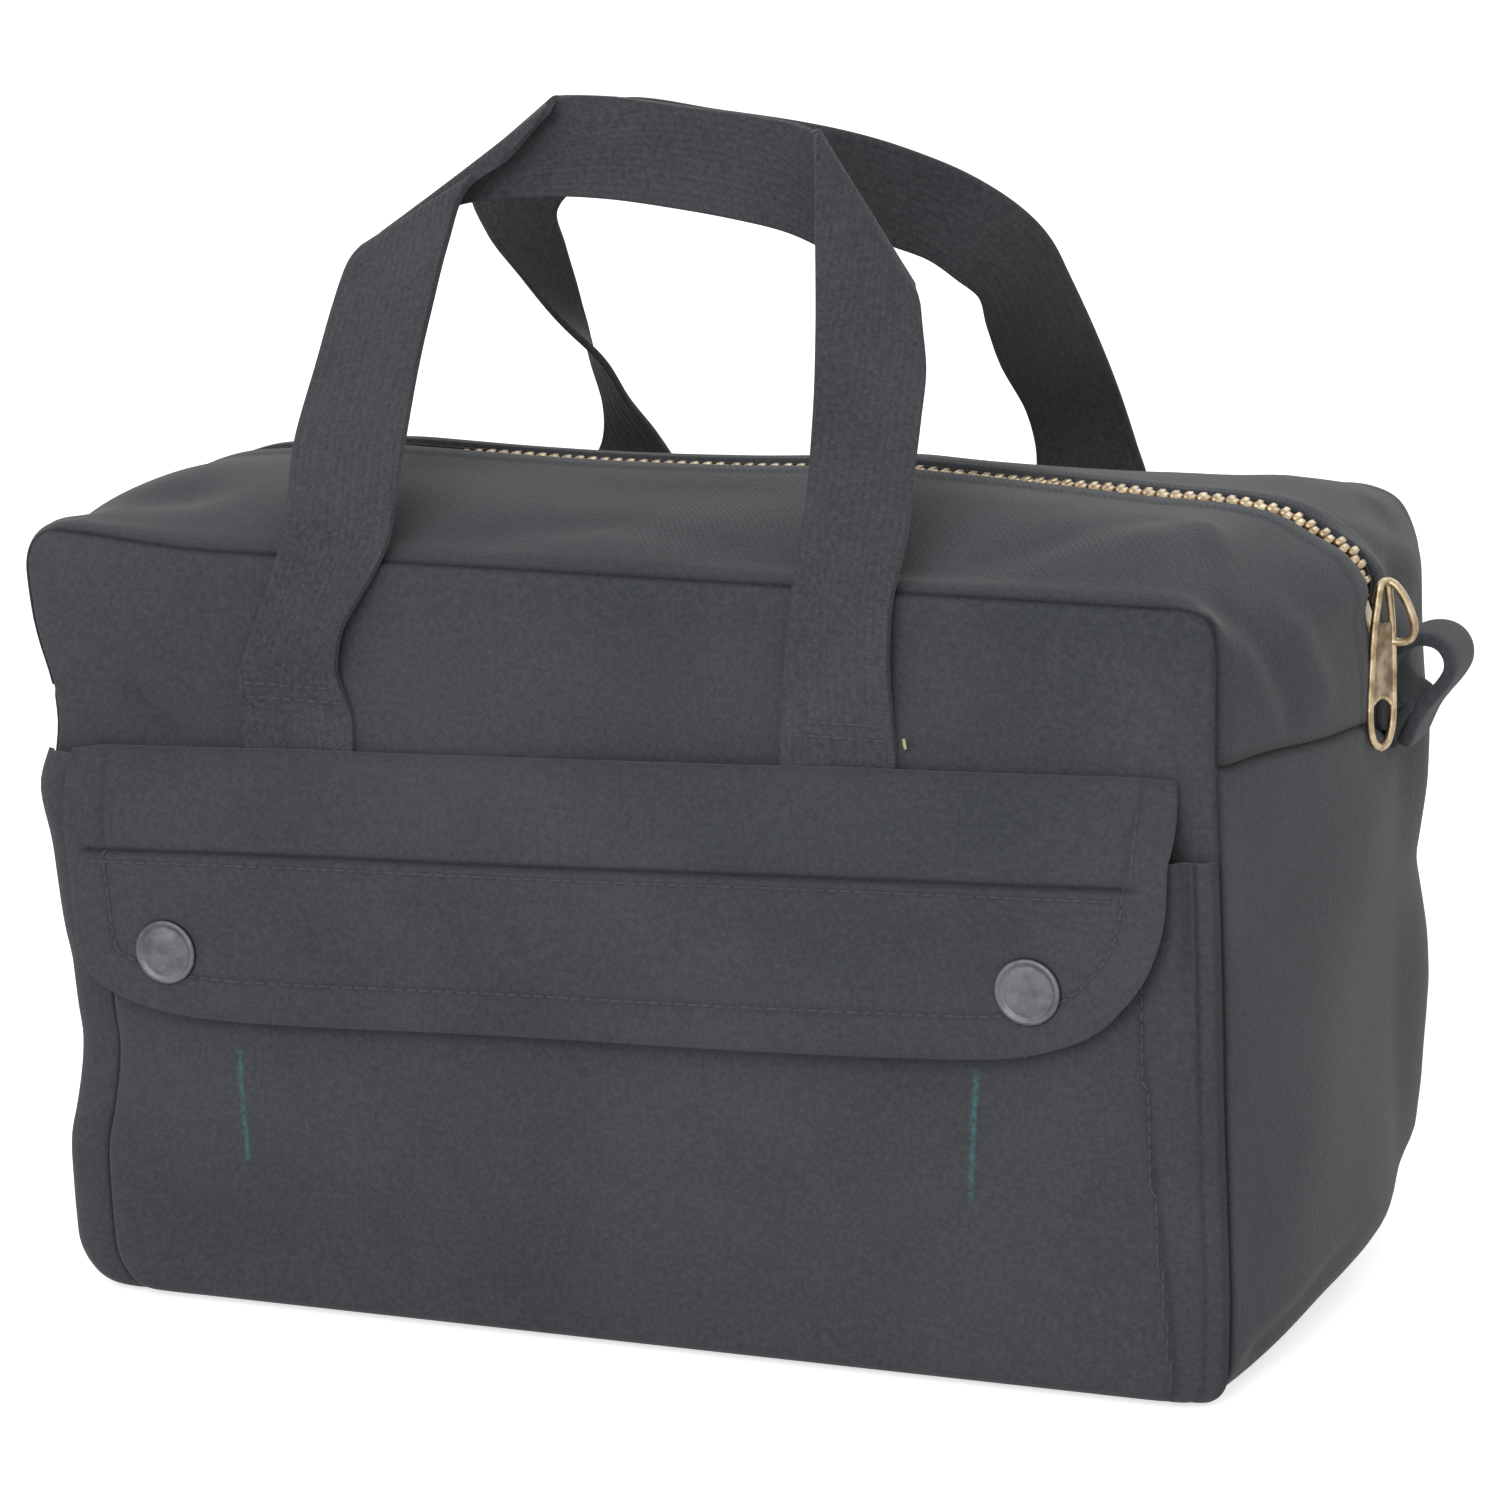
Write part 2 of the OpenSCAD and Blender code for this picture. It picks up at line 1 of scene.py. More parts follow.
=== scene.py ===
# %% [markdown]
# # A canvas tool bag, dressed around its frame
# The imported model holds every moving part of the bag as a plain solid. This lesson puts cloth, webbing, thread
# and metal around that frame. Every piece is a grid of points worked out with numpy, because a sewn bag is made
# of sheets, and a sheet is a function of two directions. Lengths below are in millimetres, as a bag maker would
# write them, and one helper turns them into metres when the mesh is made.

# %% Load the frame
import math

import bmesh
import bpy
import numpy as np
from mathutils import Matrix


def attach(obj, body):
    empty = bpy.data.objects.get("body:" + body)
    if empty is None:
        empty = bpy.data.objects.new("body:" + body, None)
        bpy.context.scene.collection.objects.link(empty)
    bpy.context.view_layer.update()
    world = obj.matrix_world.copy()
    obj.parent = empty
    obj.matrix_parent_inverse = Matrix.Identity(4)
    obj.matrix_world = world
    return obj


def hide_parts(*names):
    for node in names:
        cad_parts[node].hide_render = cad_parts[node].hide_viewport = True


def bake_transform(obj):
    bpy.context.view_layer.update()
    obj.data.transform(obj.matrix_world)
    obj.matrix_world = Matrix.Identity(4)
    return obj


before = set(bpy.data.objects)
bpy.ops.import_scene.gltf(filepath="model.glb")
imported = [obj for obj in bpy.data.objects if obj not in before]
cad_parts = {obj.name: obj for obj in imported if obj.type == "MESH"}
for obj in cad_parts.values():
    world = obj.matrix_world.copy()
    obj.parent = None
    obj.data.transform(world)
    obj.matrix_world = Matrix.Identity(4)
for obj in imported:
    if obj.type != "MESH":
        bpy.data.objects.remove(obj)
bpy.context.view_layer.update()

MM = 0.001

# %% [markdown]
# ## Sizes that the whole bag shares
# A bag maker starts from a few measures: length, depth, height, and how far the soft sides swell. They are named
# once here, and every piece is worked out from them, so neighbours fit. Where no simple formula says how a seam
# wanders, a table of places is rounded off into a curve.

# %% The bag's own sizes, as in the frame
# half the length and depth, and the height of the panels; then how far the ends and the top swell
HALF_L, HALF_D, HEIGHT = 140.0, 76.0, 176.0
END_BULGE, CROWN = 15.0, 14.0
# radii of the corners at the panels, of the foot and of the zip's turn; then the straight run below that turn
EDGE_R, BASE_R, TURN_R = 10.0, 24.0, 41.0
NECK_MID = 18.0
# how thick the cloths are: body panels, top strips, zip tape, pocket and flap
PANEL_THICK, LID_THICK, TAPE_THICK, POCKET_THICK, FLAP_THICK = 1.6, 1.7, 0.8, 1.3, 1.5
# the flap is sewn on with its right side up by this angle, about a line at this height
TILT = math.radians(2.2)
SEWN_Z = 148.8
print("bag", 2 * HALF_L, "x", 2 * HALF_D, "mm, top at", HEIGHT + CROWN, "mm")


def swell(y):
    """One at the middle of the bag's depth, nothing at its front and rear seams, a parabola between."""
    return 1 - (y / HALF_D) ** 2


def end_x(y): return HALF_L + END_BULGE * swell(y)
def top_z(y): return HEIGHT + CROWN * swell(y)
def turn_r(y): return EDGE_R + (TURN_R - EDGE_R) * swell(y)
def foot_r(y): return EDGE_R + (BASE_R - EDGE_R) * swell(y)


def softened(table, rounds=6):
    """Joins the rows (place, value) of a table by straight lines, then rounds the corners off by averaging."""
    table = np.asarray(table, float)
    place_at = np.arange(table[0, 0], table[-1, 0] + 1.0)
    value = np.interp(place_at, *table.T)
    for _ in range(rounds):
        padded = np.concatenate([value[:1], value, value[-1:]])
        value = (padded[:-2] + 2 * padded[1:-1] + padded[2:]) / 4
    return place_at, value


# the seam between the end and the top strip keeps level at the bag's corners and dips beside the zip
SEAM_EDGE = 143.0
SEAM_DIP = softened([[-76, 0.6], [-66, 0.4], [-56, 0.7], [-44, 1.9], [-33, 2.8], [-20, 3.3], [-10, 4.2], [-3, 6.0],
                     [5, 9.0], [12, 11.4], [17, 12.5], [30, 12], [50, 8], [65, 3], [76, 0]])


def seam_z(y): return SEAM_EDGE - np.interp(y, *SEAM_DIP)


def smooth(x, low=0.0, high=1.0):
    """Rises from 0 at low to 1 at high with a level start and finish."""
    t = np.clip((x - low) / (high - low), 0, 1)
    return t * t * (3 - 2 * t)


def bump(x, middle, width):
    """A round hill of height 1 at the middle, fading to nothing a few widths away."""
    return np.exp(-((x - middle) / width) ** 2)


def tilt(points):
    """Turns points about the y direction through the middle of the sewn line, right side up, by the flap's tilt."""
    p = np.array(points, float)
    x, z = p[..., 0].copy(), p[..., 2] - SEWN_Z
    p[..., 0] = x * math.cos(TILT) - z * math.sin(TILT)
    p[..., 2] = SEWN_Z + x * math.sin(TILT) + z * math.cos(TILT)
    return p


# %% [markdown]
# ## Helpers
# A cloth piece is a grid: rows run along it, columns run across it. The helper joins four neighbouring points
# into a face and lays a UV map in real millimetres over the grid, so a weave keeps its size on every piece.

# %% From a grid of points to a mesh
def lengths(grid, axis):
    """Distance travelled along one direction of the grid, starting at zero."""
    step = np.linalg.norm(np.diff(grid, axis=axis), axis=-1)
    start = np.zeros_like(np.take(step, [0], axis=axis))
    return np.concatenate([start, np.cumsum(step, axis=axis)], axis=axis)


def to_mesh(name, verts, faces, uv=None, smooth_faces=True):
    """A mesh object from points in millimetres and faces, with an optional UV pair for each face corner."""
    mesh = bpy.data.meshes.new(name)
    mesh.from_pydata((np.asarray(verts) * MM).tolist(), [], np.asarray(faces).tolist())
    if uv is not None:
        layer = mesh.uv_layers.new(name="cloth")
        layer.data.foreach_set("uv", (np.asarray(uv, np.float32) * MM).ravel())
    mesh.polygons.foreach_set("use_smooth", np.full(len(mesh.polygons), smooth_faces))
    mesh.update()
    piece = bpy.data.objects.new(name, mesh)
    bpy.context.scene.collection.objects.link(piece)
    return piece


BAG_MIDDLE = np.array([0.0, 0.0, 88.0])


def grid_mesh(name, grid, wrap=False, away_from=BAG_MIDDLE, shade=None, cut=False):
    """One four-sided face between neighbours of the grid; wrap closes each row on itself. The faces are turned,
    all at once, so that on the whole they look away from the given point. shade, from 0 to 1 at each point, is
    painted shade kept for the finish, darker down in seams, folds and tucks. cut marks the last column as a sharp
    edge."""
    rows, cols = grid.shape[:2]
    around = np.concatenate([grid, grid[:, :1]], 1) if wrap else grid
    uv = np.stack([lengths(around, 1), lengths(around, 0)], -1)
    spots = np.arange(rows * around.shape[1]).reshape(rows, -1)
    quads = np.stack([spots[:-1, :-1], spots[1:, :-1], spots[1:, 1:], spots[:-1, 1:]], -1).reshape(-1, 4)
    flat = around.reshape(-1, 3)[quads]
    facing = np.cross(flat[:, 2] - flat[:, 0], flat[:, 3] - flat[:, 1])
    if np.sum(facing * (flat.mean(1) - away_from)) < 0:
        quads = quads[:, ::-1]
    corners = uv.reshape(-1, 2)[quads.ravel()]
    place = (quads // around.shape[1]) * cols + (quads % around.shape[1]) % cols
    piece = to_mesh(name, grid.reshape(-1, 3), place, corners)
    if shade is not None:
        depth = piece.data.attributes.new("seam depth", "FLOAT", "POINT")
        depth.data.foreach_set("value", np.broadcast_to(shade, (rows, cols)).astype(np.float32).ravel())
    if cut:
        ends = np.empty(2 * len(piece.data.edges), np.int32)
        piece.data.edges.foreach_get("vertices", ends)
        last = np.all(ends.reshape(-1, 2) % cols == cols - 1, axis=1)
        sharp = piece.data.attributes.new("sharp_edge", "BOOLEAN", "EDGE")
        sharp.data.foreach_set("value", last)
    return piece


def thicken(piece, thickness, rim=0.5, offset=-1.0):
    """Gives a sheet its real thickness, with a soft rim so that its cut edge catches the light."""
    solid = piece.modifiers.new("cloth thickness", "SOLIDIFY")
    solid.thickness, solid.offset, solid.use_even_offset = thickness * MM, offset, False
    if rim:
        edge = piece.modifiers.new("soft rim", "BEVEL")
        edge.width, edge.segments, edge.limit_method = rim * MM, 2, "ANGLE"
        edge.angle_limit = math.radians(55)
    return piece


def settle(piece, body, finish, stands_for=()):
    """Gives a piece its finish and hides the solids it stands for. On a single named body it is parented to that
    body's empty; given a list of bodies, its place is baked into its mesh.
    """
    piece.data.materials.clear()
    piece.data.materials.append(finish)
    if stands_for:
        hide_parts(*stands_for)
    if isinstance(body, str):
        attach(piece, body)
    else:
        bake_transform(piece)
    print(piece.name, len(piece.data.polygons), "faces")
    return piece


SLOTS = {"canvas cloth": "canvas", "cotton webbing": "webbing", "woven zip tape": "zip_tape",
         "antique brass": "brass", "dull steel": "snap_steel", "sewing thread": "canvas"}

# %% [markdown]
# ## Camera, floor and light
# The camera was fitted to the corners of the bag: a long lens, a little above the bag, turned so that the end
# with the zip slider shows. The floor is plain and pale. What the camera sees of it is lifted to white, while the
# light that reaches the bag stays at a plain level, so the cloth keeps the colour that is written for it.

# %% Camera
YAW, ELEVATION, ROLL = math.radians(21.3), math.radians(13.2), math.radians(-1.0)
DISTANCE, LENS, SENSOR = 1350.0, 139.2, 36.0
TARGET = np.array([5.0, 0.0, 119.8])
back = np.array([math.sin(YAW) * math.cos(ELEVATION), -math.cos(YAW) * math.cos(ELEVATION), math.sin(ELEVATION)])
right = np.cross(-back, [0, 0, 1])
right /= np.linalg.norm(right)
up = np.cross(right, -back)
side = right * math.cos(ROLL) + up * math.sin(ROLL)
over = up * math.cos(ROLL) - right * math.sin(ROLL)
view = bpy.data.cameras.new("view of the bag")
view.lens, view.sensor_width, view.sensor_fit = LENS, SENSOR, "HORIZONTAL"
view.clip_end = 20
camera = bpy.data.objects.new("view of the bag", view)
bpy.context.scene.collection.objects.link(camera)
stand = np.eye(4)
stand[:3, 0], stand[:3, 1], stand[:3, 2] = side, over, back
stand[:3, 3] = (TARGET + back * DISTANCE) * MM
camera.matrix_world = Matrix(stand.tolist())
bpy.context.scene.camera = camera
print("camera at", np.round(stand[:3, 3], 3))

# %% Pale floor, white to the camera
def show_white(tree, dull, strength):
    """Adds plain white to a shader, but only for rays from the camera, from metal and through glass."""
    nodes, links = tree.nodes, tree.links
    path = nodes.new("ShaderNodeLightPath")
    seen = nodes.new("ShaderNodeMath")
    seen.operation = "MAXIMUM"
    links.new(path.outputs["Is Camera Ray"], seen.inputs[0])
    either = nodes.new("ShaderNodeMath")
    either.operation = "MAXIMUM"
    links.new(path.outputs["Is Glossy Ray"], either.inputs[0])
    links.new(path.outputs["Is Transmission Ray"], either.inputs[1])
    links.new(either.outputs[0], seen.inputs[1])
    level = nodes.new("ShaderNodeMath")
    level.operation = "MULTIPLY"
    level.inputs[1].default_value = strength
    links.new(seen.outputs[0], level.inputs[0])
    glow = nodes.new("ShaderNodeEmission")
    links.new(level.outputs[0], glow.inputs["Strength"])
    both = nodes.new("ShaderNodeAddShader")
    links.new(dull, both.inputs[0])
    links.new(glow.outputs[0], both.inputs[1])
    return both.outputs[0]


FLOOR_HALF, FLOOR_Z = 6000.0, -0.2
square = [(-1, -1), (1, -1), (1, 1), (-1, 1)]
floor = to_mesh("floor", [[a * FLOOR_HALF, b * FLOOR_HALF, FLOOR_Z] for a, b in square], [[0, 1, 2, 3]])
pale = bpy.data.materials.new("pale floor")
pale.use_nodes = True
paint = pale.node_tree.nodes["Principled BSDF"]
paint.inputs["Base Color"].default_value = (0.86, 0.86, 0.86, 1)
paint.inputs["Roughness"].default_value = 0.9
paint.inputs["Specular IOR Level"].default_value = 0.0
pale.node_tree.links.new(show_white(pale.node_tree, paint.outputs[0], 0.66),
                         pale.node_tree.nodes["Material Output"].inputs["Surface"])
floor.data.materials.append(pale)
print("floor", 2 * FLOOR_HALF * MM, "m wide")

# %% Soft light from all round, a window's worth from the upper left, a smaller one from the right
world = bpy.data.worlds.new("soft room")
world.use_nodes = True
bpy.context.scene.world = world
sky = world.node_tree.nodes["Background"]
sky.inputs["Color"].default_value = (1, 1, 1, 1)
sky.inputs["Strength"].default_value = 0.57
world.node_tree.links.new(show_white(world.node_tree, sky.outputs[0], 0.75),
                          world.node_tree.nodes["World Output"].inputs["Surface"])


def lamp(name, place, size, power):
    """A square soft lamp that looks at the middle of the bag."""
    light = bpy.data.lights.new(name, "AREA")
    light.size, light.energy = size, power
    holder = bpy.data.objects.new(name, light)
    bpy.context.scene.collection.objects.link(holder)
    away = np.array(place, float) - TARGET * MM
    z = away / np.linalg.norm(away)
    x = np.cross([0, 0, 1], z)
    x /= np.linalg.norm(x)
    turn = np.eye(4)
    turn[:3, 0], turn[:3, 1], turn[:3, 2], turn[:3, 3] = x, np.cross(z, x), z, place
    holder.matrix_world = Matrix(turn.tolist())
    return holder


lamp("front window", (0.05, -2.15, 1.15), 1.6, 31)
lamp("right window", (1.7, -0.7, 1.5), 0.9, 2.4)
lamp("rear fill", (0.3, 1.8, 1.2), 1.2, 8)
bpy.context.scene.view_settings.view_transform = "Standard"

# %% [markdown]
# ## Finishes
# Canvas is a plain weave: over one, under one. Webbing is woven in lengthwise ribs with a herringbone slant.
# Both patterns are worked out from the UV map, which is in real sizes, so a yarn is a yarn's width everywhere.
# Shared effects are node groups with named inputs, placed in each material with its own values.

# %% A short hand for wiring nodes
def wiring(tree):
    """Returns two helpers for a node tree: one adds a node, the other adds a sum on one or two values."""
    def put(socket, value):
        if isinstance(value, bpy.types.NodeSocket):
            tree.links.new(value, socket)
        elif isinstance(value, tuple) and socket.type == "RGBA" and len(value) == 3:
            socket.default_value = (*value, 1)
        else:
            socket.default_value = value

    def add(kind, settings=None, **inputs):
        node = tree.nodes.new("ShaderNode" + kind)
        for key, value in (settings or {}).items():
            setattr(node, key, value)
        for key, value in inputs.items():
            put(node.inputs[int(key[1:]) if key[0] == "i" and key[1:].isdigit() else key.replace("_", " ")], value)
        return node

    def sum_of(kind, a, b=0.5, c=0.0):
        return add("Math", {"operation": kind}, i0=a, i1=b, i2=c).outputs[0]
    return add, sum_of


def group(name, inputs, outputs):
    """An empty shader node group with named inputs and outputs."""
    tree = bpy.data.node_groups.new(name, "ShaderNodeTree")
    for label, kind, value in inputs:
        socket = tree.interface.new_socket(label, in_out="INPUT", socket_type=kind)
        if value is not None:
            socket.default_value = value
    for label in outputs:
        tree.interface.new_socket(label, in_out="OUTPUT", socket_type="NodeSocketFloat")
    return tree, tree.nodes.new("NodeGroupInput").outputs, tree.nodes.new("NodeGroupOutput").inputs


# %% Plain weave
weave, given, result = group("plain weave", [("Vector", "NodeSocketVector", None),
                                             ("Threads per metre", "NodeSocketFloat", 1400.0)], ["Height"])
add, calc = wiring(weave)
scaled = add("VectorMath", {"operation": "SCALE"}, i0=given["Vector"], Scale=given["Threads per metre"])
across = add("SeparateXYZ", Vector=scaled.outputs[0]).outputs
yarns = [calc("SINE", calc("MULTIPLY", calc("FRACT", across[k]), math.pi)) for k in (0, 1)]
whole = calc("ADD", calc("FLOOR", across[0]), calc("FLOOR", across[1]))
over_one = calc("PINGPONG", whole, 1.0)
weave.links.new(calc("ADD", calc("MULTIPLY", yarns[0], over_one),
                     calc("MULTIPLY", yarns[1], calc("SUBTRACT", 1.0, over_one))), result["Height"])
print(weave.name, len(weave.nodes), "nodes")

# %% Ribbed webbing with a herringbone slant
ribs, given, result = group("webbing ribs", [("Vector", "NodeSocketVector", None),
                                             ("Ribs per metre", "NodeSocketFloat", 560.0),
                                             ("Picks per metre", "NodeSocketFloat", 980.0)], ["Rib", "Pick"])
add, calc = wiring(ribs)
lanes = add("SeparateXYZ", Vector=given["Vector"]).outputs
rib_at = calc("MULTIPLY", lanes[0], given["Ribs per metre"])
slant = calc("PINGPONG", rib_at, 1.0)
pick_at = calc("ADD", calc("MULTIPLY", lanes[1], given["Picks per metre"]), calc("MULTIPLY", slant, 1.3))
ribs.links.new(calc("SINE", calc("MULTIPLY", calc("FRACT", rib_at), math.pi)), result["Rib"])
ribs.links.new(calc("SINE", calc("MULTIPLY", calc("FRACT", pick_at), math.pi)), result["Pick"])
print(ribs.name, len(ribs.nodes), "nodes")

# %% Mottle: broad fading, finer dye marks and single pale fibres
mottle, given, result = group("cloth mottle", [("Vector", "NodeSocketVector", None)], ["Fade", "Dye", "Lint"])
add, calc = wiring(mottle)
for label, scale, detail in (("Fade", 14.0, 3.0), ("Dye", 900.0, 2.0)):
    noise = add("TexNoise", Vector=given["Vector"], Scale=scale, Detail=detail, Roughness=0.6)
    mottle.links.new(noise.outputs["Fac"], result[label])
cells = add("TexVoronoi", Vector=given["Vector"], Scale=70.0)
specks = calc("LESS_THAN", cells.outputs["Distance"], 0.022)
chosen = calc("GREATER_THAN", add("SeparateXYZ", Vector=cells.outputs["Color"]).outputs[0], 0.93)
mottle.links.new(calc("MULTIPLY", specks, chosen), result["Lint"])
print(mottle.name, len(mottle.nodes), "nodes")


# %% Cloth finishes
def place(add, tree, name, **inputs):
    """Puts a shared group into a material's tree."""
    node = add("Group", {"node_tree": bpy.data.node_groups[name]})
    for key, value in inputs.items():
        socket = node.inputs[key.replace("_", " ")]
        if isinstance(value, bpy.types.NodeSocket):
            tree.links.new(value, socket)
        else:
            socket.default_value = value
    return node.outputs


def new_finish(name, **constants):
    """A material with its Principled shader's constant values set on the shader's own sockets."""
    finish = bpy.data.materials.new(name)
    finish.use_nodes = True
    shader = finish.node_tree.nodes["Principled BSDF"]
    for key, value in constants.items():
        socket = shader.inputs[key.replace("_", " ")]
        socket.default_value = (*value, 1) if isinstance(value, tuple) and socket.type == "RGBA" else value
    add, calc = wiring(finish.node_tree)
    return finish, shader, add, calc


def mix(add, kind, factor, a, b):
    """Blends two colours by a factor."""
    node = add("Mix", {"data_type": "RGBA", "blend_type": kind})
    for index, value in ((0, factor), (6, a), (7, b)):
        if isinstance(value, bpy.types.NodeSocket):
            node.id_data.links.new(value, node.inputs[index])
        else:
            node.inputs[index].default_value = (*value, 1) if isinstance(value, tuple) else value
    return node.outputs[2]


def cloth_finish(name, dark, light, threads, depth, chalk=()):
    """Woven cotton: two dye colours mixed by mottle, darker between yarns, with painted shade in seams and folds,
    and with lint and chalk lines.
    """
    finish, shader, add, calc = new_finish(name, Roughness=0.92, Specular_IOR_Level=0.18,
                                           Sheen_Weight=0.12, Sheen_Roughness=0.5)
    tree = finish.node_tree
    seat = add("TexCoord").outputs
    spots = place(add, tree, "cloth mottle", Vector=seat["Object"])
    drift = add("TexNoise", Vector=seat["UV"], Scale=260.0, Detail=1.0).outputs["Color"]
    wander = add("VectorMath", {"operation": "SCALE"}, i0=drift, Scale=0.9 / threads)
    cloth_at = add("VectorMath", {"operation": "ADD"}, i0=seat["UV"], i1=wander.outputs[0])
    yarn = place(add, tree, "plain weave", Vector=cloth_at.outputs[0], Threads_per_metre=threads)["Height"]
    dye = calc("ADD", calc("MULTIPLY", spots["Dye"], 0.55), calc("MULTIPLY", spots["Fade"], 0.45))
    colour = mix(add, "MIX", calc("MULTIPLY_ADD", dye, 3.2, -1.1), dark, light)
    shade = calc("MULTIPLY_ADD", yarn, 0.10, 0.92)
    # painted shade: the colour darkens where the mesh's painted seam shade is high, in seams, folds and tucks
    seam = add("Attribute", {"attribute_name": "seam depth"}).outputs["Fac"]
    shade = calc("MULTIPLY", shade, calc("MULTIPLY_ADD", seam, -0.58, 1.0))
    colour = mix(add, "MULTIPLY", 1.0, colour, add("CombineColor", Red=shade, Green=shade, Blue=shade).outputs[0])
    for mark_x, lean, low, high in chalk:
        spot = add("SeparateXYZ", Vector=seat["Object"]).outputs
        line_x = calc("MULTIPLY_ADD", spot[2], lean, mark_x)
        near = calc("SUBTRACT", 1.0, calc("MULTIPLY", calc("ABSOLUTE", calc("SUBTRACT", spot[0], line_x)), 1000.0))
        inside = calc("MULTIPLY", calc("GREATER_THAN", spot[2], low), calc("LESS_THAN", spot[2], high))
        near = calc("MAXIMUM", near, 0.0)
        worn = calc("MULTIPLY", calc("MULTIPLY", near, inside), calc("MULTIPLY_ADD", spots["Dye"], 2.4, -0.7))
        colour = mix(add, "MIX", worn, colour, CHALK_BLUE)
    colour = mix(add, "MIX", calc("MULTIPLY", spots["Lint"], 0.5), colour, PALE_LINT)
    tree.links.new(colour, shader.inputs["Base Color"])
    relief = calc("ADD", calc("MULTIPLY", yarn, 0.4), calc("MULTIPLY", spots["Dye"], 1.5))
    bumps = add("Bump", Height=relief, Strength=0.4, Distance=depth)
    tree.links.new(bumps.outputs[0], shader.inputs["Normal"])
    return finish


CHALK_BLUE, PALE_LINT = (0.05, 0.16, 0.17), (0.30, 0.28, 0.24)
# each chalk line: place along the bag, lean, lower and upper end, in metres
CHALK = ((-0.0848, -0.058, 0.036, 0.062), (0.0860, 0.0333, 0.043, 0.073))
DARK_DYE, LIGHT_DYE = (0.0350, 0.0385, 0.0438), (0.0620, 0.0650, 0.0715)
CANVAS_LOOK = (DARK_DYE, LIGHT_DYE, 1350.0, 0.00022)
canvas = cloth_finish("canvas cloth", *CANVAS_LOOK)
chalked = cloth_finish("chalked canvas cloth", *CANVAS_LOOK, CHALK)
tape_cloth = cloth_finish("woven zip tape", (0.010, 0.010, 0.011), (0.022, 0.022, 0.024), 1700.0, 0.00012)
thread = cloth_finish("sewing thread", (0.048, 0.051, 0.057), (0.074, 0.077, 0.084), 4000.0, 0.00006)

webbing, shader, add, calc = new_finish("cotton webbing", Roughness=0.9, Specular_IOR_Level=0.2,
                                        Sheen_Weight=0.1, Sheen_Roughness=0.5)
seat = add("TexCoord").outputs
spots = place(add, webbing.node_tree, "cloth mottle", Vector=seat["Object"])
lane = place(add, webbing.node_tree, "webbing ribs", Vector=seat["UV"])
dye = calc("ADD", calc("MULTIPLY", spots["Dye"], 0.5), calc("MULTIPLY", spots["Fade"], 0.5))
colour = mix(add, "MIX", calc("MULTIPLY_ADD", dye, 3.0, -1.0), (0.028, 0.0297, 0.034), (0.073, 0.0755, 0.082))
lit = calc("MULTIPLY_ADD", calc("MULTIPLY", lane["Rib"], lane["Pick"]), 0.17, 0.87)
colour = mix(add, "MULTIPLY", 1.0, colour, add("CombineColor", Red=lit, Green=lit, Blue=lit).outputs[0])
colour = mix(add, "MIX", calc("MULTIPLY", spots["Lint"], 0.4), colour, (0.26, 0.24, 0.20))
webbing.node_tree.links.new(colour, shader.inputs["Base Color"])
relief = calc("ADD", calc("MULTIPLY", lane["Rib"], 1.3), lane["Pick"])
bumps = add("Bump", Height=relief, Strength=0.45, Distance=0.0003)
webbing.node_tree.links.new(bumps.outputs[0], shader.inputs["Normal"])


# %% [markdown]
# ## Brass and steel
# Antique brass is bright metal under a brown skin that hands have rubbed off in places. A photograph of worn
# metal could be wrapped round each part, but one noise pattern that mixes two colours, with a finer one for
# roughness, fits any shape and needs no picture.

# %% Metal finishes
def metal_finish(name, dark, bright, rough, spread, scale):
    """Worn metal: a dull brown or grey skin with rubbed bright patches, which are also smoother."""
    finish, shader, add, calc = new_finish(name, Metallic=1.0)
    tree = finish.node_tree
    seat = add("TexCoord").outputs["Object"]
    wear = add("TexNoise", Vector=seat, Scale=scale, Detail=4.0, Roughness=0.65).outputs["Fac"]
    fine = add("TexNoise", Vector=seat, Scale=scale * 9, Detail=2.0).outputs["Fac"]
    rubbed = calc("MULTIPLY_ADD", wear, 3.4, -1.25)
    tree.links.new(mix(add, "MIX", rubbed, dark, bright), shader.inputs["Base Color"])
    tree.links.new(calc("MULTIPLY_ADD", fine, spread, rough), shader.inputs["Roughness"])
    bumps = add("Bump", Height=fine, Strength=0.25, Distance=0.00005)
    tree.links.new(bumps.outputs[0], shader.inputs["Normal"])
    return finish


brass = metal_finish("antique brass", (0.24, 0.17, 0.10), (0.53, 0.435, 0.285), 0.27, 0.25, 260.0)
steel = metal_finish("dull steel", (0.086, 0.087, 0.095), (0.15, 0.15, 0.16), 0.34, 0.2, 180.0)
tarnished = metal_finish("tarnished brass", (0.15, 0.105, 0.07), (0.36, 0.28, 0.19), 0.33, 0.25, 260.0)
SLOTS["chalked canvas cloth"], SLOTS["tarnished brass"] = "canvas", "brass"
print("finishes:", [m.name for m in bpy.data.materials])

# %% [markdown]
# ## The bag's cloth shell
# A sewn bag is soft: its edges roll into the seams, its ends bulge, and its long sides wander a little. The shell
# is cut as on the real bag, into panels with seams between them. Each panel is a grid on the same smooth loops,
# so neighbours share their seam exactly, and one slouch function pushes all of them, so no seam opens.

# %% How the cloth slouches
EDGE_ROLL, ROLL_DEPTH = 2.3, 1.7
# sideways moves by height: the left side, the right side at the front, and the end's belly towards the rear
LEFT_SIDE = softened([[0, 5.0], [8, 4.2], [20, 3.4], [32, 3.0], [37, 3.3], [43, 4.9], [49, 6.1], [55, 7.0], [61, 7.3],
                      [67, 6.3], [73, 5.7], [79, 5.2], [85, 3.8], [91, 3.0], [100, 2.2], [113, 1.6], [120, 1.8],
                      [128, 3.2], [133, 3.9], [139, 3.5], [144, 2.6], [150, 0.6], [156, -1.1], [162, -2.0],
                      [168, -2.6], [174, -3.2], [190, -1.5]], 4)
RIGHT_SIDE = softened([[0, 3.8], [6, 3.7], [24, 3.9], [69, 2.8], [113, 1.8], [143, 0.6], [157, 0.6], [166, 0.5],
                       [172, 0.1], [177, -0.6], [190, -1.0]])
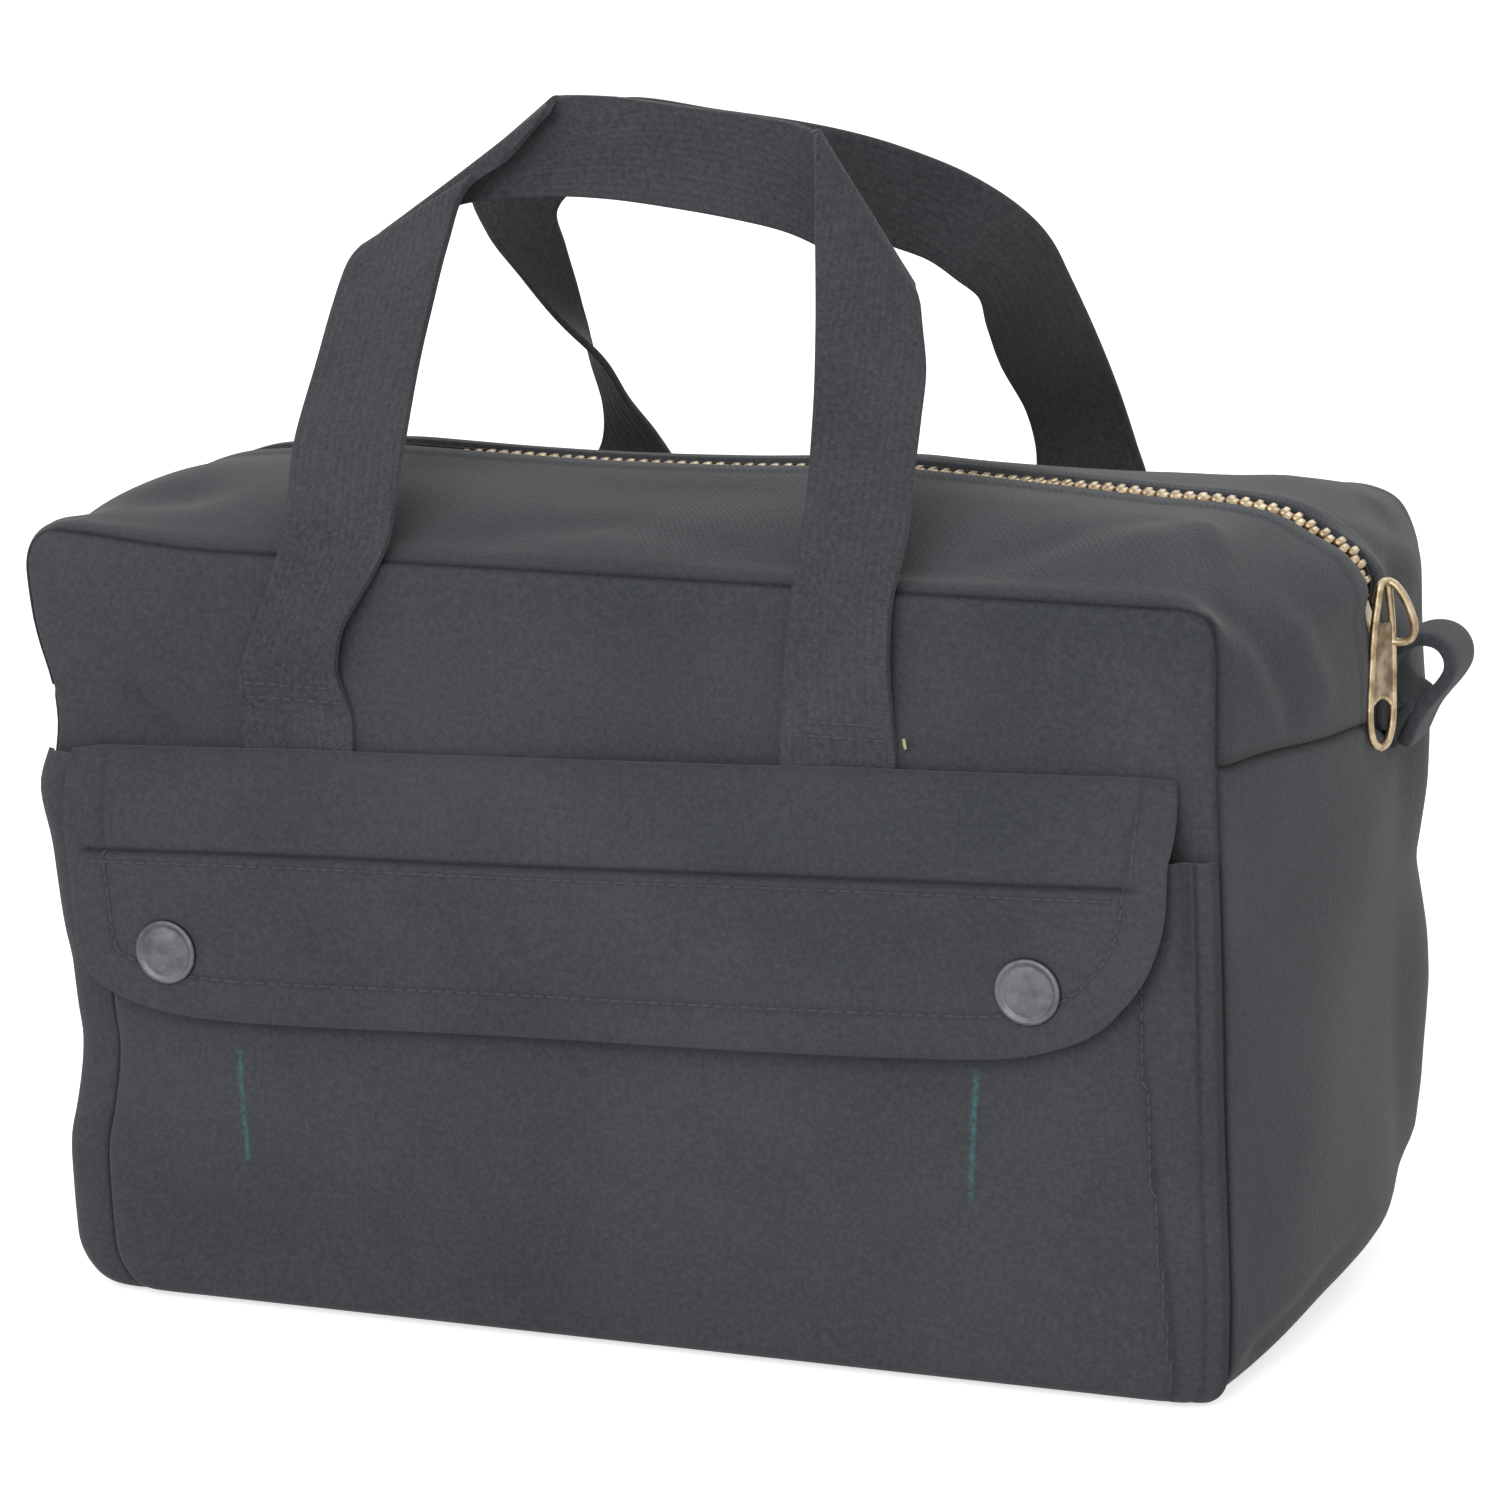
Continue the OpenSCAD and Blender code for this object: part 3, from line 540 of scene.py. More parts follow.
BELLY = softened([[0, -1.4], [8, -4.8], [15, -4.6], [22, -0.7], [28, 4.0], [40, 5.8], [55, 6.3], [65, 6.3], [75, 5.2],
                  [88, 2.6], [94, 1.5], [100, 2.6], [112, 4.8], [125, 6.0], [138, 4.9], [150, 4.2], [162, 3.6],
                  [172, 1.6], [180, 0.6], [190, 0.4]])
# how far the rear half of the top sinks behind the zip: by depth, and a factor along the bag
SINK = softened([[-76, 0], [-5, 0], [5, 0.3], [10, 0.9], [20, 2.4], [30, 3.6], [48, 5.0], [60, 4.6], [70, 3.8],
                 [76, 3.0]])
SINK_ALONG = softened([[-155, 1.4], [-133, 1.44], [-87, 1.25], [-55, 1.6], [-30, 1.45], [-4, 1.05], [37, 0.56],
                       [52, 0.6], [97, 0.42], [112, 0.5], [127, 0.45], [140, 0.1], [160, 0.0]], 12)
# how far the zip's own line sinks, or rises where the value is below zero, along the bag
ZIP_SAG = softened([[-160, 0], [-30, 0.2], [6, 0.1], [20, -0.2], [41, -0.8], [55, 0.2], [66, 0.9], [85, 2.2],
                    [107, 3.7], [118, 3.9], [127, 2.8], [137, 0.3], [145, 0], [160, 0]], 10)


def slouch(points):
    """Moves cloth by a few millimetres: the sides lean and belly by height, the rear of the top sinks behind the
    zip, the front left corner stands up, and slow waves cross the panels. Terms fade out beside metal parts."""
    p = np.array(points, float)
    x, y, z = p[..., 0].copy(), p[..., 1].copy(), p[..., 2].copy()
    forward = 0.62 - 0.38 * y / HALF_D
    p[..., 0] += (0.6 + np.interp(z, *LEFT_SIDE)) * smooth(-x, 40, 150) * forward
    p[..., 0] += np.interp(z, *RIGHT_SIDE) * smooth(x, 60, 140) * smooth(-y, 10, 76)
    p[..., 0] += np.interp(z, *BELLY) * smooth(x, 90, 150) * smooth(y, 20, 48)
    metal = smooth(z, 112, 128) * bump(y, 8, 26) * (x > 100)
    face = smooth(np.abs(y), 60, 76)
    waves = (np.sin(x / 31 + z / 47 + 0.6) + 0.7 * np.sin(x / 17 - z / 29 + 2.1) + 0.45 * np.sin(z / 11 + x / 63))
    p[..., 1] += 0.45 * waves * face * smooth(z, 2, 30) * np.sign(y) * (1 - smooth(z, 158, 172))
    ends = smooth(np.abs(x), 118, 140) * (1 - smooth(np.abs(y), 66, 76))
    p[..., 0] += np.sign(x) * 0.8 * ends * smooth(z, 2, 40) * (1 - metal) * (
        np.sin(z / 16 + y / 23) + 0.6 * np.sin(y / 11 - z / 27 + 1.0)) * (1 - smooth(z, 150, 175))
    crease = bump((z + 2 - (y + 76) * 0.17), 10, 3.2) * smooth(x, 125, 140) * smooth(-y, -5, 30) * (
        1 - smooth(-y, 62, 74))
    p[..., 0] -= 1.8 * crease
    lid = smooth(z, 150, 172) * (1 - smooth(np.abs(y), 66, 76)) * smooth(np.abs(y), 12, 30)
    p[..., 2] += 0.7 * lid * (np.sin(x / 37 + y / 19) + 0.6 * np.sin(x / 15 + 2 - y / 13)) * (1 - smooth(x, 105, 135))
    p[..., 2] -= np.interp(y, *SINK) * np.interp(x, *SINK_ALONG) * smooth(z, 120, 170)
    p[..., 2] -= 1.8 * smooth(z, 150, 175) * (1 - smooth(np.abs(y), 25, 60)) * bump(x, -22, 62)
    high = smooth(z, 150, 172)
    front_left = 3.0 * smooth(-x, 92, 138) * smooth(-y, 50, 74)
    p[..., 2] += (front_left + 2.4 * smooth(-x, 129, 140) * bump(y, -65, 7)) * high
    p[..., 2] -= (4.0 * smooth(-x, 76, 125) + 2.4 * smooth(-x, 112, 140)) * smooth(y, -62, -8) * high
    beside = 1 - smooth(np.abs(y), 9, 46)
    p[..., 2] -= np.interp(x, *ZIP_SAG) * beside * smooth(z, 165, 180)
    p[..., 0] += 3.4 * beside * smooth(z, 160, 168) * (1 - smooth(z, 172, 184)) * smooth(x, 134, 146)
    p[..., 2] += 1.6 * beside * bump(z, 172, 8) * smooth(x, 137, 147)
    p[..., 0] -= 1.3 * bump(y, 17, 9) * bump(z, 147, 7) * (x > 100)
    p[..., 1] += 2.6 * bump(y, -6, 5) * smooth(x, 146, 152) * (1 - smooth(z, 168, 176)) * smooth(z, 150, 157)
    for path, width, push in FOLDS:
        p += near_path(np.stack([x, y, z], -1), path, width)[..., None] * np.array(push)
    return p


# folds and dents: a path on the cloth, a width, and the push at its middle
FOLDS = [([[138.6, -76, 173.4]], 4.2, (1.5, 0, 1.5)),
         ([[126, -34, 187], [136, -48, 184], [143, -61, 179]], 3.6, (0.7, 0, 1.1)),
         ([[142, -66, 177], [146.5, -62, 170], [148, -56, 160], [150, -49, 150]], 4.4, (-1.5, 0, -0.9)),
         ([[147, -46, 172], [150, -40, 160], [151.5, -34, 150]], 4.5, (0.9, 0, 0.2)),
         ([[141, 10, 186], [147, 20, 181], [150, 32, 174], [151, 50, 166]], 3.2, (1.2, 0, 1.6)),
         ([[149, 10, 178], [153, 22, 169], [153, 36, 161], [152, 52, 153]], 5.0, (-3.0, 0, -1.3)),
         ([[-118, -76, 140], [-114, -76, 136], [-110, -76, 133]], 3.4, (0, 2.6, 0)),
         ([[143, 52, 178], [143, 74, 176]], 6.0, (1.1, 0, 1.5)),
         ([[-130, -54, 174], [-112, -48, 180]], 9.0, (0, 0, -2.4)),
         ([[-30, -60, 176], [-6, -52, 182], [24, -60, 177]], 7.0, (0, 0, -0.9)),
         ([[86, -60, 178], [100, -46, 182], [112, -34, 184]], 6.0, (0, 0, -1.0))]


def near_path(points, path, width):
    """One on a path of points, falling off as a bell curve a width away from it."""
    path = np.array(path, float)
    best = np.full(points.shape[:-1], 1e9)
    for start, end in zip(path[:max(1, len(path) - 1)], path[1:] if len(path) > 1 else path):
        along = end - start
        t = np.clip((points - start) @ along / max(along @ along, 1e-9), 0, 1)
        best = np.minimum(best, np.linalg.norm(points - start - t[..., None] * along, axis=-1))
    return np.exp(-(best / width) ** 2)


def roll(distance):
    """How far a panel's surface dips at a distance from its seam: a quarter round, ROLL_DEPTH deep at the seam."""
    t = 1 - np.clip(distance / EDGE_ROLL, 0, 1)
    return ROLL_DEPTH * (1 - np.sqrt(1 - 0.96 * t * t))


def in_seam(distance):
    """Weight of the painted seam shade: one down in a seam, fading out a millimetre away from it."""
    return np.exp(-(distance / 0.75) ** 2)


def steps(low, high, count, crowd=0.0):
    """Values from low to high. With crowd 1 they lie closer together at both ends, as a cosine does."""
    t = np.linspace(0, 1, count)
    return low + (high - low) * ((1 - crowd) * t + crowd * (0.5 - 0.5 * np.cos(np.pi * t)))


# %% [markdown]
# ## Panels, ends and base
# Each panel could be a plane pushed about by hand, but then neighbours would drift apart. Here the front and rear
# are planes with rolled rims, and the ends, base and top follow one set of loops round the bag, so a seam is one
# line that both neighbours share.

# %% Front and rear panels
def flat_panel(y_side):
    """A plane with round corners: each row at height z is as wide as the outline there. Its rim rolls inwards."""
    z = steps(0, HEIGHT, 96, 0.8)[:, None]
    t = steps(-1, 1, 150, 0.6)[None, :]
    low, high = np.clip(EDGE_R - z, 0, None), np.clip(z - HEIGHT + EDGE_R, 0, None)
    half = HALF_L - EDGE_R + np.sqrt(EDGE_R ** 2 - low ** 2) - (EDGE_R - np.sqrt(EDGE_R ** 2 - high ** 2))
    x = half * t
    to_rim = np.minimum(np.minimum(z, HEIGHT - z) + 0 * x, half - np.abs(x))
    y = y_side * (HALF_D - roll(to_rim) + 0.4 * bump(to_rim, 5.0, 2.5)) + 0 * x
    # the second value is painted shade along the panel's rim seams
    return slouch(np.stack([x, y, z + 0 * x], -1)), in_seam(to_rim)


for name, y_side, node in (("front_cloth", -1, "front_panel"), ("rear_cloth", 1, "rear_panel")):
    grid, shade = flat_panel(y_side)
    settle(thicken(grid_mesh(name, grid, shade=shade), PANEL_THICK), "bag", canvas, [node])

# %% Ends, base and top strips, all on the same loops
SEAM_Y = HALF_D - 0.7


def loop_strip(corners, y):
    """Points on the loops at depths y. corners is a list of (kind, steps): the run goes up the end, over the
    shoulder and along the top, and each kind gives its straight or quarter-round part."""
    y = y[:, None]
    dip = roll(HALF_D - np.abs(y))
    parts = []
    for kind, share in corners:
        s = share[None, :]
        if kind == "foot":
            a, r = s * np.pi / 2, foot_r(y)
            part = [end_x(y) - r + (r - dip) * np.sin(a), r - (r - dip) * np.cos(a)]
        elif kind == "end":
            low, high = foot_r(y), seam_z(y)
            part = [end_x(y) - dip + 0 * s, low + (high - low) * s]
        elif kind == "neck":
            low, high = seam_z(y), top_z(y) - turn_r(y)
            part = [end_x(y) - dip + 0 * s, low + (high - low) * s]
        elif kind == "turn":
            a, r = s * np.pi / 2, turn_r(y)
            part = [end_x(y) - r + (r - dip) * np.cos(a), top_z(y) - r + (r - dip) * np.sin(a)]
        elif kind == "top":
            part = [(end_x(y) - turn_r(y)) * (1 - s), top_z(y) - dip + 0 * s]
        parts.append(np.stack([part[0], y + 0 * part[0], part[1]], -1))
    return np.concatenate(parts, 1)


def ends_of(count, crowd=0.0, last=1.0):
    return steps(0, last, count, crowd)


deep = steps(-SEAM_Y, SEAM_Y, 64, 0.7)
for name, x_side, node in (("right_end_cloth", 1, "right_end_panel"), ("left_end_cloth", -1, "left_end_panel")):
    run = loop_strip([("foot", ends_of(14)), ("end", ends_of(46)[1:])], deep)
    top_in = smooth(run[..., 2] - seam_z(run[..., 1]), -2.5, 0)
    run[..., 0] -= (1.3 if x_side > 0 else 0.7) * top_in
    # painted shade along the end's side seams and its top seam
    shade = np.maximum(in_seam(SEAM_Y - np.abs(run[..., 1])), in_seam(seam_z(run[..., 1]) - run[..., 2]))
    run[..., 0] *= x_side
    grid = slouch(run)
    settle(thicken(grid_mesh(name, grid, shade=shade), PANEL_THICK), "bag", canvas, [node])

# %% Bottom panel
across_base = steps(-1, 1, 110, 0.3)[None, :]
y = deep[:, None]
reach = end_x(y) - foot_r(y)
base = np.stack([reach * across_base, y + 0 * across_base, roll(HALF_D - np.abs(y)) + 0 * across_base], -1)
base = slouch(base)
settle(thicken(grid_mesh("base_cloth", base), PANEL_THICK), "bag", canvas, ["bottom_panel"])

# %% [markdown]
# ## Top strips that open
# On the bag each side of the zip has one long strip. Each is drawn as two halves that meet in the middle of the
# bag. A half is one sheet from the end seam, round the shoulder, to the middle. An open zip makes an eye shape
# there, where a rigid lid would leave a gap.

HINGE_START, HINGE_END = 0.116, 0.012
HINGE_Y, HINGE_Z = 0.0737, 0.1748


def mouth(front, x_side):
    """Body words for cloth that is on the bag at the shoulder and on the moving lip at the middle."""
    lip = "front_mouth" if front else "rear_mouth"
    hold = HINGE_Y * (-1 if front else 1)
    return ("bag", lip, (x_side * HINGE_START, hold, HINGE_Z), (x_side * HINGE_END, hold, HINGE_Z))


def quarter_nodes(front, x_side, shoulder, centre):
    """The two frame solids that a quarter's piece stands for: one on the shoulder and one at the middle."""
    side = "front" if front else "rear"
    return [f"{side}_{shoulder}_{'right' if x_side > 0 else 'left'}", f"{side}_{centre}"]


def top_half(depths, raise_by):
    """The run from the end seam to the middle at the given depths, moved along its own outward direction."""
    run = loop_strip([("neck", ends_of(9)), ("turn", ends_of(30)[1:]), ("top", ends_of(60)[1:])], depths)
    t = np.gradient(run, axis=1)
    normal = np.stack([t[..., 2], 0 * t[..., 0], -t[..., 0]], -1)
    normal /= np.linalg.norm(normal, axis=-1, keepdims=True)
    return run + normal * raise_by[:, None, None]


def each_corner():
    """The four quarters of the top: front or rear, right or left."""
    for front in (True, False):
        for x_side in (1, -1):
            yield front, x_side, ("front" if front else "rear") + ("_right" if x_side > 0 else "_left")


def quarter(depths, raise_by, front, x_side):
    """A front right quarter at depths given as distances from the zip's middle, taken to its place."""
    return slouch(top_half(depths * (-1 if front else 1), raise_by) * np.array([x_side, 1, 1]))


LIP_EDGE = 5.3
lip_depths = np.concatenate([steps(SEAM_Y, 14, 34, 0.5)[:-1], np.linspace(14, LIP_EDGE, 9)])
puffy = (0.4 * smooth(-lip_depths, -13.5, -12.5) - 0.7 * smooth(-lip_depths, -8.5, -LIP_EDGE)
         + 0.45 * bump(HALF_D - lip_depths, 4.5, 2.5))
for front, x_side, label in each_corner():
    nodes = quarter_nodes(front, x_side, "shoulder", "lip")
    lid = quarter(lip_depths, puffy, front, x_side)
    # painted shade along the strip's seam with the panel, and along the end seam in its first column
    shade = np.maximum(in_seam(SEAM_Y - lip_depths)[:, None], 0 * lid[..., 0])
    shade[:, 0] = 1
    strip = thicken(grid_mesh(f"top_cloth_{label}", lid, shade=shade, cut=True), LID_THICK, rim=0)
    settle(strip, mouth(front, x_side), canvas, nodes)


# %% [markdown]
# ## The zip
# Two tapes lie under the canvas edges, and brass teeth are clamped on their cords, one side set half a pitch
# from the other. One tooth is a short rounded bar of a few dozen faces, and numpy sets copies of it along the
# chain in one go.

# %% Tapes
tape_depths = np.linspace(14.6, 2.9, 10)
for front, x_side, label in each_corner():
    lift = 0.3 * bump(tape_depths, 4.6, 0.9) + 0.9 * (1 - smooth(tape_depths, 4.5, 7.5)) - 2.35
    run = quarter(tape_depths, lift, front, x_side)
    tape = thicken(grid_mesh(f"zip_tape_{label}", run, cut=True), TAPE_THICK, rim=0)
    settle(tape, mouth(front, x_side), tape_cloth, quarter_nodes(front, x_side, "tape", "tape_centre"))

# %% One tooth, and a way to set many
def closed_bar(length, width, height, sides=8):
    """A bar along y whose section is a rounded box, narrowed at both ends: four rings joined by quads, and a fan
    of quads over each end, so that it is watertight."""
    a = np.arange(sides) * 2 * np.pi / sides + np.pi / sides
    ring = np.stack([np.sign(f(a)) * np.abs(f(a)) ** 0.6 for f in (np.cos, np.sin)], 1)
    rings = [np.column_stack([ring[:, 0] * width / 2 * k, np.full(sides, length / 2 * s),
                              ring[:, 1] * height / 2 * k])
             for s, k in ((-1, 0.55), (-0.82, 1.0), (0.82, 1.0), (1, 0.55))]
    faces = [[r * sides + j, r * sides + (j + 1) % sides, (r + 1) * sides + (j + 1) % sides, (r + 1) * sides + j]
             for r in range(len(rings) - 1) for j in range(sides)]
    for first, turn in ((0, -1), ((len(rings) - 1) * sides, 1)):
        faces += [[first, first + k + 1, first + k + 2, first + (k + 3) % sides][::turn]
                  for k in range(0, sides - 2, 2)]
    return np.concatenate(rings), faces


def many(name, shape, frames):
    """Copies of one small shape: frames is an array of (place, x, y, z directions), one row for each copy."""
    verts, faces = shape
    verts, faces = np.asarray(verts, float), np.asarray(faces)
    place_of, axes = frames[:, 0], frames[:, 1:]
    everywhere = place_of[:, None] + np.einsum("vk,nkc->nvc", verts, axes)
    shift = np.arange(len(frames))[:, None, None] * len(verts)
    return to_mesh(name, everywhere.reshape(-1, 3), (faces[None] + shift).reshape(-1, faces.shape[1]))


# %% Teeth along the chain
CHAIN_IN, PITCH = 2.7, 3.2
TOOTH_LENGTH, TOOTH_WIDTH, TOOTH_HEIGHT = 4.6, 1.9, 2.8
MIDDLE_RUN = HALF_L + END_BULGE - TURN_R


def chain_frames(first, last, shift, x_side):
    """Places along the chain from the middle of the top, down the shoulder: straight first, then round the turn."""
    turn_x, turn_z, r = end_x(0.0) - TURN_R, top_z(0.0) - TURN_R, TURN_R - CHAIN_IN
    corner_run = r * np.pi / 2
    count = int((last - first) / PITCH)
    s = first + shift + PITCH * np.arange(count)
    a = np.clip(s - MIDDLE_RUN, 0, corner_run) / r
    r = r + 1.1 * (1 - smooth(np.degrees(a), 50, 66))
    below = np.clip(s - MIDDLE_RUN - corner_run, 0, None)
    x = np.where(s < MIDDLE_RUN, s, turn_x + r * np.sin(a))
    z = turn_z + r * np.cos(a) - below
    along = np.stack([np.cos(a), 0 * a, -np.sin(a)], 1)
    outward = np.stack([np.sin(a), 0 * a, np.cos(a)], 1)
    place_at = np.stack([x, 0 * x, z], 1)
    across = np.tile([0.0, 1.0, 0.0], (count, 1))
    frames = np.stack([place_at, along, across, outward], 1)
    frames[:, :, 0] *= x_side
    return frames, a


def tooth_rows(name, front, x_side):
    """One side's teeth on one half of the zip. Below the slider the two sides stand a little apart."""
    y_side, shift = (-1, 0.4) if front else (1, 2.0)
    frames, a = chain_frames(0.0, MIDDLE_RUN + (TURN_R - CHAIN_IN) * np.pi / 2 + NECK_MID / 2, shift, x_side)
    apart = 1.1 * smooth(np.degrees(a), 68, 74) if x_side > 0 else 0 * a
    frames[:, 0] = slouch(frames[:, 0])
    along_bag = x_side * np.abs(frames[:, 0, 0])
    frames[:, 0, 2] -= 0.9 - 0.9 * smooth(along_bag, 62, 96) + 1.5 * smooth(-along_bag, 55, 85)
    frames[:, 0, 1] = y_side * (TOOTH_LENGTH / 2 - 0.75 + apart)
    return many(name, closed_bar(TOOTH_LENGTH, TOOTH_WIDTH, TOOTH_HEIGHT), frames)


for front, x_side, label in each_corner():
    settle(tooth_rows(f"zip_teeth_{label}", front, x_side), mouth(front, x_side), brass,
           quarter_nodes(front, x_side, "teeth", "teeth_centre"))

# %% [markdown]
# ## Pocket
# The patch pocket is as wide as the bag. At each side its cloth folds over on itself before it goes into the
# corner seam, which leaves a shadow line, drawn as a shallow groove with painted shade along it, and a row of
# stitches runs beside the fold. The flap is sewn on under the handles. Both are drawn as grids over the front
# panel, because what shows of them is how far they stand out.

# %% Pocket
def through(table, t):
    """A smooth curve through the rows of a table at even parameter steps: cubic pieces with matched slopes."""
    table = np.asarray(table, float)
    n = len(table) - 1
    t = np.clip(np.asarray(t, float), 0, 1) * n
    i = np.minimum(t.astype(int), n - 1)
    f = (t - i)[..., None]
    slope = np.gradient(table, axis=0)
    a, b, ma, mb = table[i], table[i + 1], slope[i], slope[i + 1]
    return ((2 * f ** 3 - 3 * f ** 2 + 1) * a + (f ** 3 - 2 * f ** 2 + f) * ma
            + (3 * f ** 2 - 2 * f ** 3) * b + (f ** 3 - f ** 2) * mb)


# across the pocket: place along the bag, and how far the cloth stands out from the front panel
POCKET_RIGHT = [[112, 6.6], [120, 6.7], [127, 6.6], [131.5, 6.2], [134.0, 5.5], [135.2, 4.6], [135.6, 4.0],
                [136.4, 4.1], [138.0, 3.5], [139.2, 2.2], [139.8, 0.3]]
POCKET_LEFT = [[-112, 6.6], [-118, 6.7], [-123, 6.6], [-126.0, 6.0], [-127.4, 5.0], [-127.7, 4.2], [-128.7, 4.5],
               [-132, 4.9], [-136, 4.1], [-138.8, 2.3], [-139.8, 0.3]]
SHEET_LIFT, POCKET_OUT, POCKET_SEAM = 0.3, 6.6, 139.8
SEWN_FOLD = [[0, 130.6], [4.5, 130.2], [49.7, 126.2], [81, 124], [122, 122.5]]


def pocket_grid():
    """Rows climb from the base seam to the mouth; columns cross from corner seam to corner seam. The lower corners
    are rounded by drawing each low row in towards the middle."""
    right_part = through(POCKET_RIGHT, np.linspace(0, 1, 60))
    left_part = through(POCKET_LEFT, np.linspace(0, 1, 60))[::-1]
    middle = np.stack([np.linspace(-112, 112, 100)[1:-1], np.full(98, POCKET_OUT)], 1)
    across = np.concatenate([left_part, middle, right_part])
    z = np.concatenate([steps(0.4, 14, 30), steps(14, 118, 62)[1:], steps(118, 122, 5)[1:]])[:, None]
    x = across[None, :, 0] + 0 * z
    foot = 0.10 + 0.90 * np.sqrt(np.clip(1 - (1 - np.clip((z - 0.4) / 3.2, 0, 1)) ** 2, 0, 1))
    inner = smooth(126 - np.abs(x - 3), 0, 40)
    loose = 1.7 * inner * smooth(z, 6, 40) * (1 - smooth(z, 52, 74)) * (1 + 0.5 * np.sin(x / 38 + 1.3))
    ripple = 0.35 * inner * (np.sin(x / 13 + z / 21) + np.sin(x / 29 - z / 15 + 2)) * smooth(z, 4, 20) * (
        1 - smooth(z, 66, 78))
    sewn = bump(x, np.interp(z, *np.array(SEWN_FOLD).T), 0.9)
    pleat = bump(x, 133.4, 1.4) * smooth(z, 84, 104)
    out = (across[None, :, 1] + SHEET_LIFT - 0.45 * sewn - 1.8 * pleat) * foot + loose + ripple
    # painted shade in the side creases and the pleat, along the sewn fold and the corner seams; the fold and the
    # pleat are also shallow grooves
    painted_crease_shade = 0.9 * bump(x, -127.8, 0.7) + 0.6 * bump(x, 135.7, 0.7) * (0.2 + 0.8 * smooth(z, 60, 95))
    shade = np.maximum(np.maximum(0.45 * sewn, painted_crease_shade), np.maximum(0.25 * pleat, in_seam(POCKET_SEAM - np.abs(x))))
    corner = np.where(x < 0, 13.0, 7.0)
    low = np.clip(corner - z, 0, None)
    x = x * (1 - (corner - np.sqrt(corner ** 2 - low ** 2)) / HALF_L)
    rise = 6.0 * smooth(-x, 121, 134) * smooth(z, 104, 122)
    x = x - 2.6 * bump(z + rise, 120, 10) * smooth(-x, 122, 135)
    return slouch(np.stack([x, -HALF_D - out, z + rise], -1)), shade


pocket, shade = pocket_grid()
pocket_piece = thicken(grid_mesh("pocket_cloth", pocket, shade=shade), POCKET_THICK)
settle(pocket_piece, "bag", chalked, ["pocket_panel"])

# %% [markdown]
# ## Flap
# The flap is sewn on and turned over, so its top is a roll and not a cut edge. Below it has a tuck, a doubled hem
# and round corners, and only the two snaps hold it down. A cloth simulation could drape it, but the tuck and the
# hem would be lost, so its face is one function of place and height. The distance to the outline gives the hem,
# which then follows the round corners.

# %% Flap
FLAP_TOP, LOW_EDGE, TUCK_Z, HEM = 134.7, 73.0, 112.0, 9.6
SNAP_XS = (-106.5, 99.7)
SNAP_Z = 89.0
# the flap's outline: height, reach to the right and to the left of the bag's middle
REACH_RIGHT = [[73, 84], [73.5, 93], [75, 101.5], [78, 110.5], [82, 117], [85.3, 120.2], [88.2, 123], [93.4, 126.6],
               [100, 129.4], [106.4, 130.9], [115, 131.6], [122, 131.9], [130, 131.8], [138, 131.6]]
REACH_LEFT = [[73, 90], [73.5, 99], [74.5, 107.6], [75.9, 113.4], [77.6, 118.4], [79.7, 122.6], [82, 125.7],
              [85, 127.9], [90, 129.2], [99, 129.9], [112, 130.2], [125, 130.8], [138, 131.2]]
# down the flap: height, and how far its face stands out from the front panel
FLAP_DOWN = [[132.6, 0.6], [133.9, 0.8], [134.6, 1.4], [134.7, 2.4], [133.8, 3.8], [131.6, 5.5], [128.6, 7.2],
             [125.2, 8.7], [121.5, 9.8], [118, 10.5], [114.5, 10.8]]
# through the tuck: height above it, and the step of the face, first a groove and then the ridge that is sewn down
TUCK = [[4, 0], [1.8, -0.1], [0.6, -0.4], [0.1, -0.9], [-0.3, -0.7], [-0.7, 0.2], [-1.4, 0.75], [-2.4, 0.55],
        [-4, 0.65], [-7, 0.4], [-12, 0]]
fine = np.linspace(0, 1, 500)
reach_right, reach_left = through(REACH_RIGHT, fine), through(REACH_LEFT, fine)
hang = through(FLAP_DOWN[3:], fine)[::-1]
tuck_curve = through(TUCK, fine)[::-1]
outline_z = np.concatenate([steps(TUCK_Z, LOW_EDGE, 300, 1.0), steps(LOW_EDGE, TUCK_Z, 300, 1.0)])
outline_x = np.concatenate([-np.interp(outline_z[:300], *reach_left.T), np.interp(outline_z[300:], *reach_right.T)])
outline = np.stack([outline_x, outline_z], 1)
outline = np.concatenate([[[-131, 134]], outline[:300], np.linspace(outline[299], outline[300], 60)[1:-1],
                          outline[300:], [[134.7, 134]]])


def from_edge(x, z):
    """Distance in the flap's own plane to its side and lower edges."""
    spots = np.stack([np.ravel(x), np.ravel(z)], 1)
    a, b = outline[:-1], outline[1:]
    best = np.full(len(spots), 1e9)
    for start, end in zip(a[::3], np.concatenate([b[2::3], b[-1:]])):
        along = end - start
        t = np.clip((spots - start) @ along / max(along @ along, 1e-9), 0, 1)
        best = np.minimum(best, np.hypot(*(spots - start - t[:, None] * along).T))
    return best.reshape(np.shape(x))


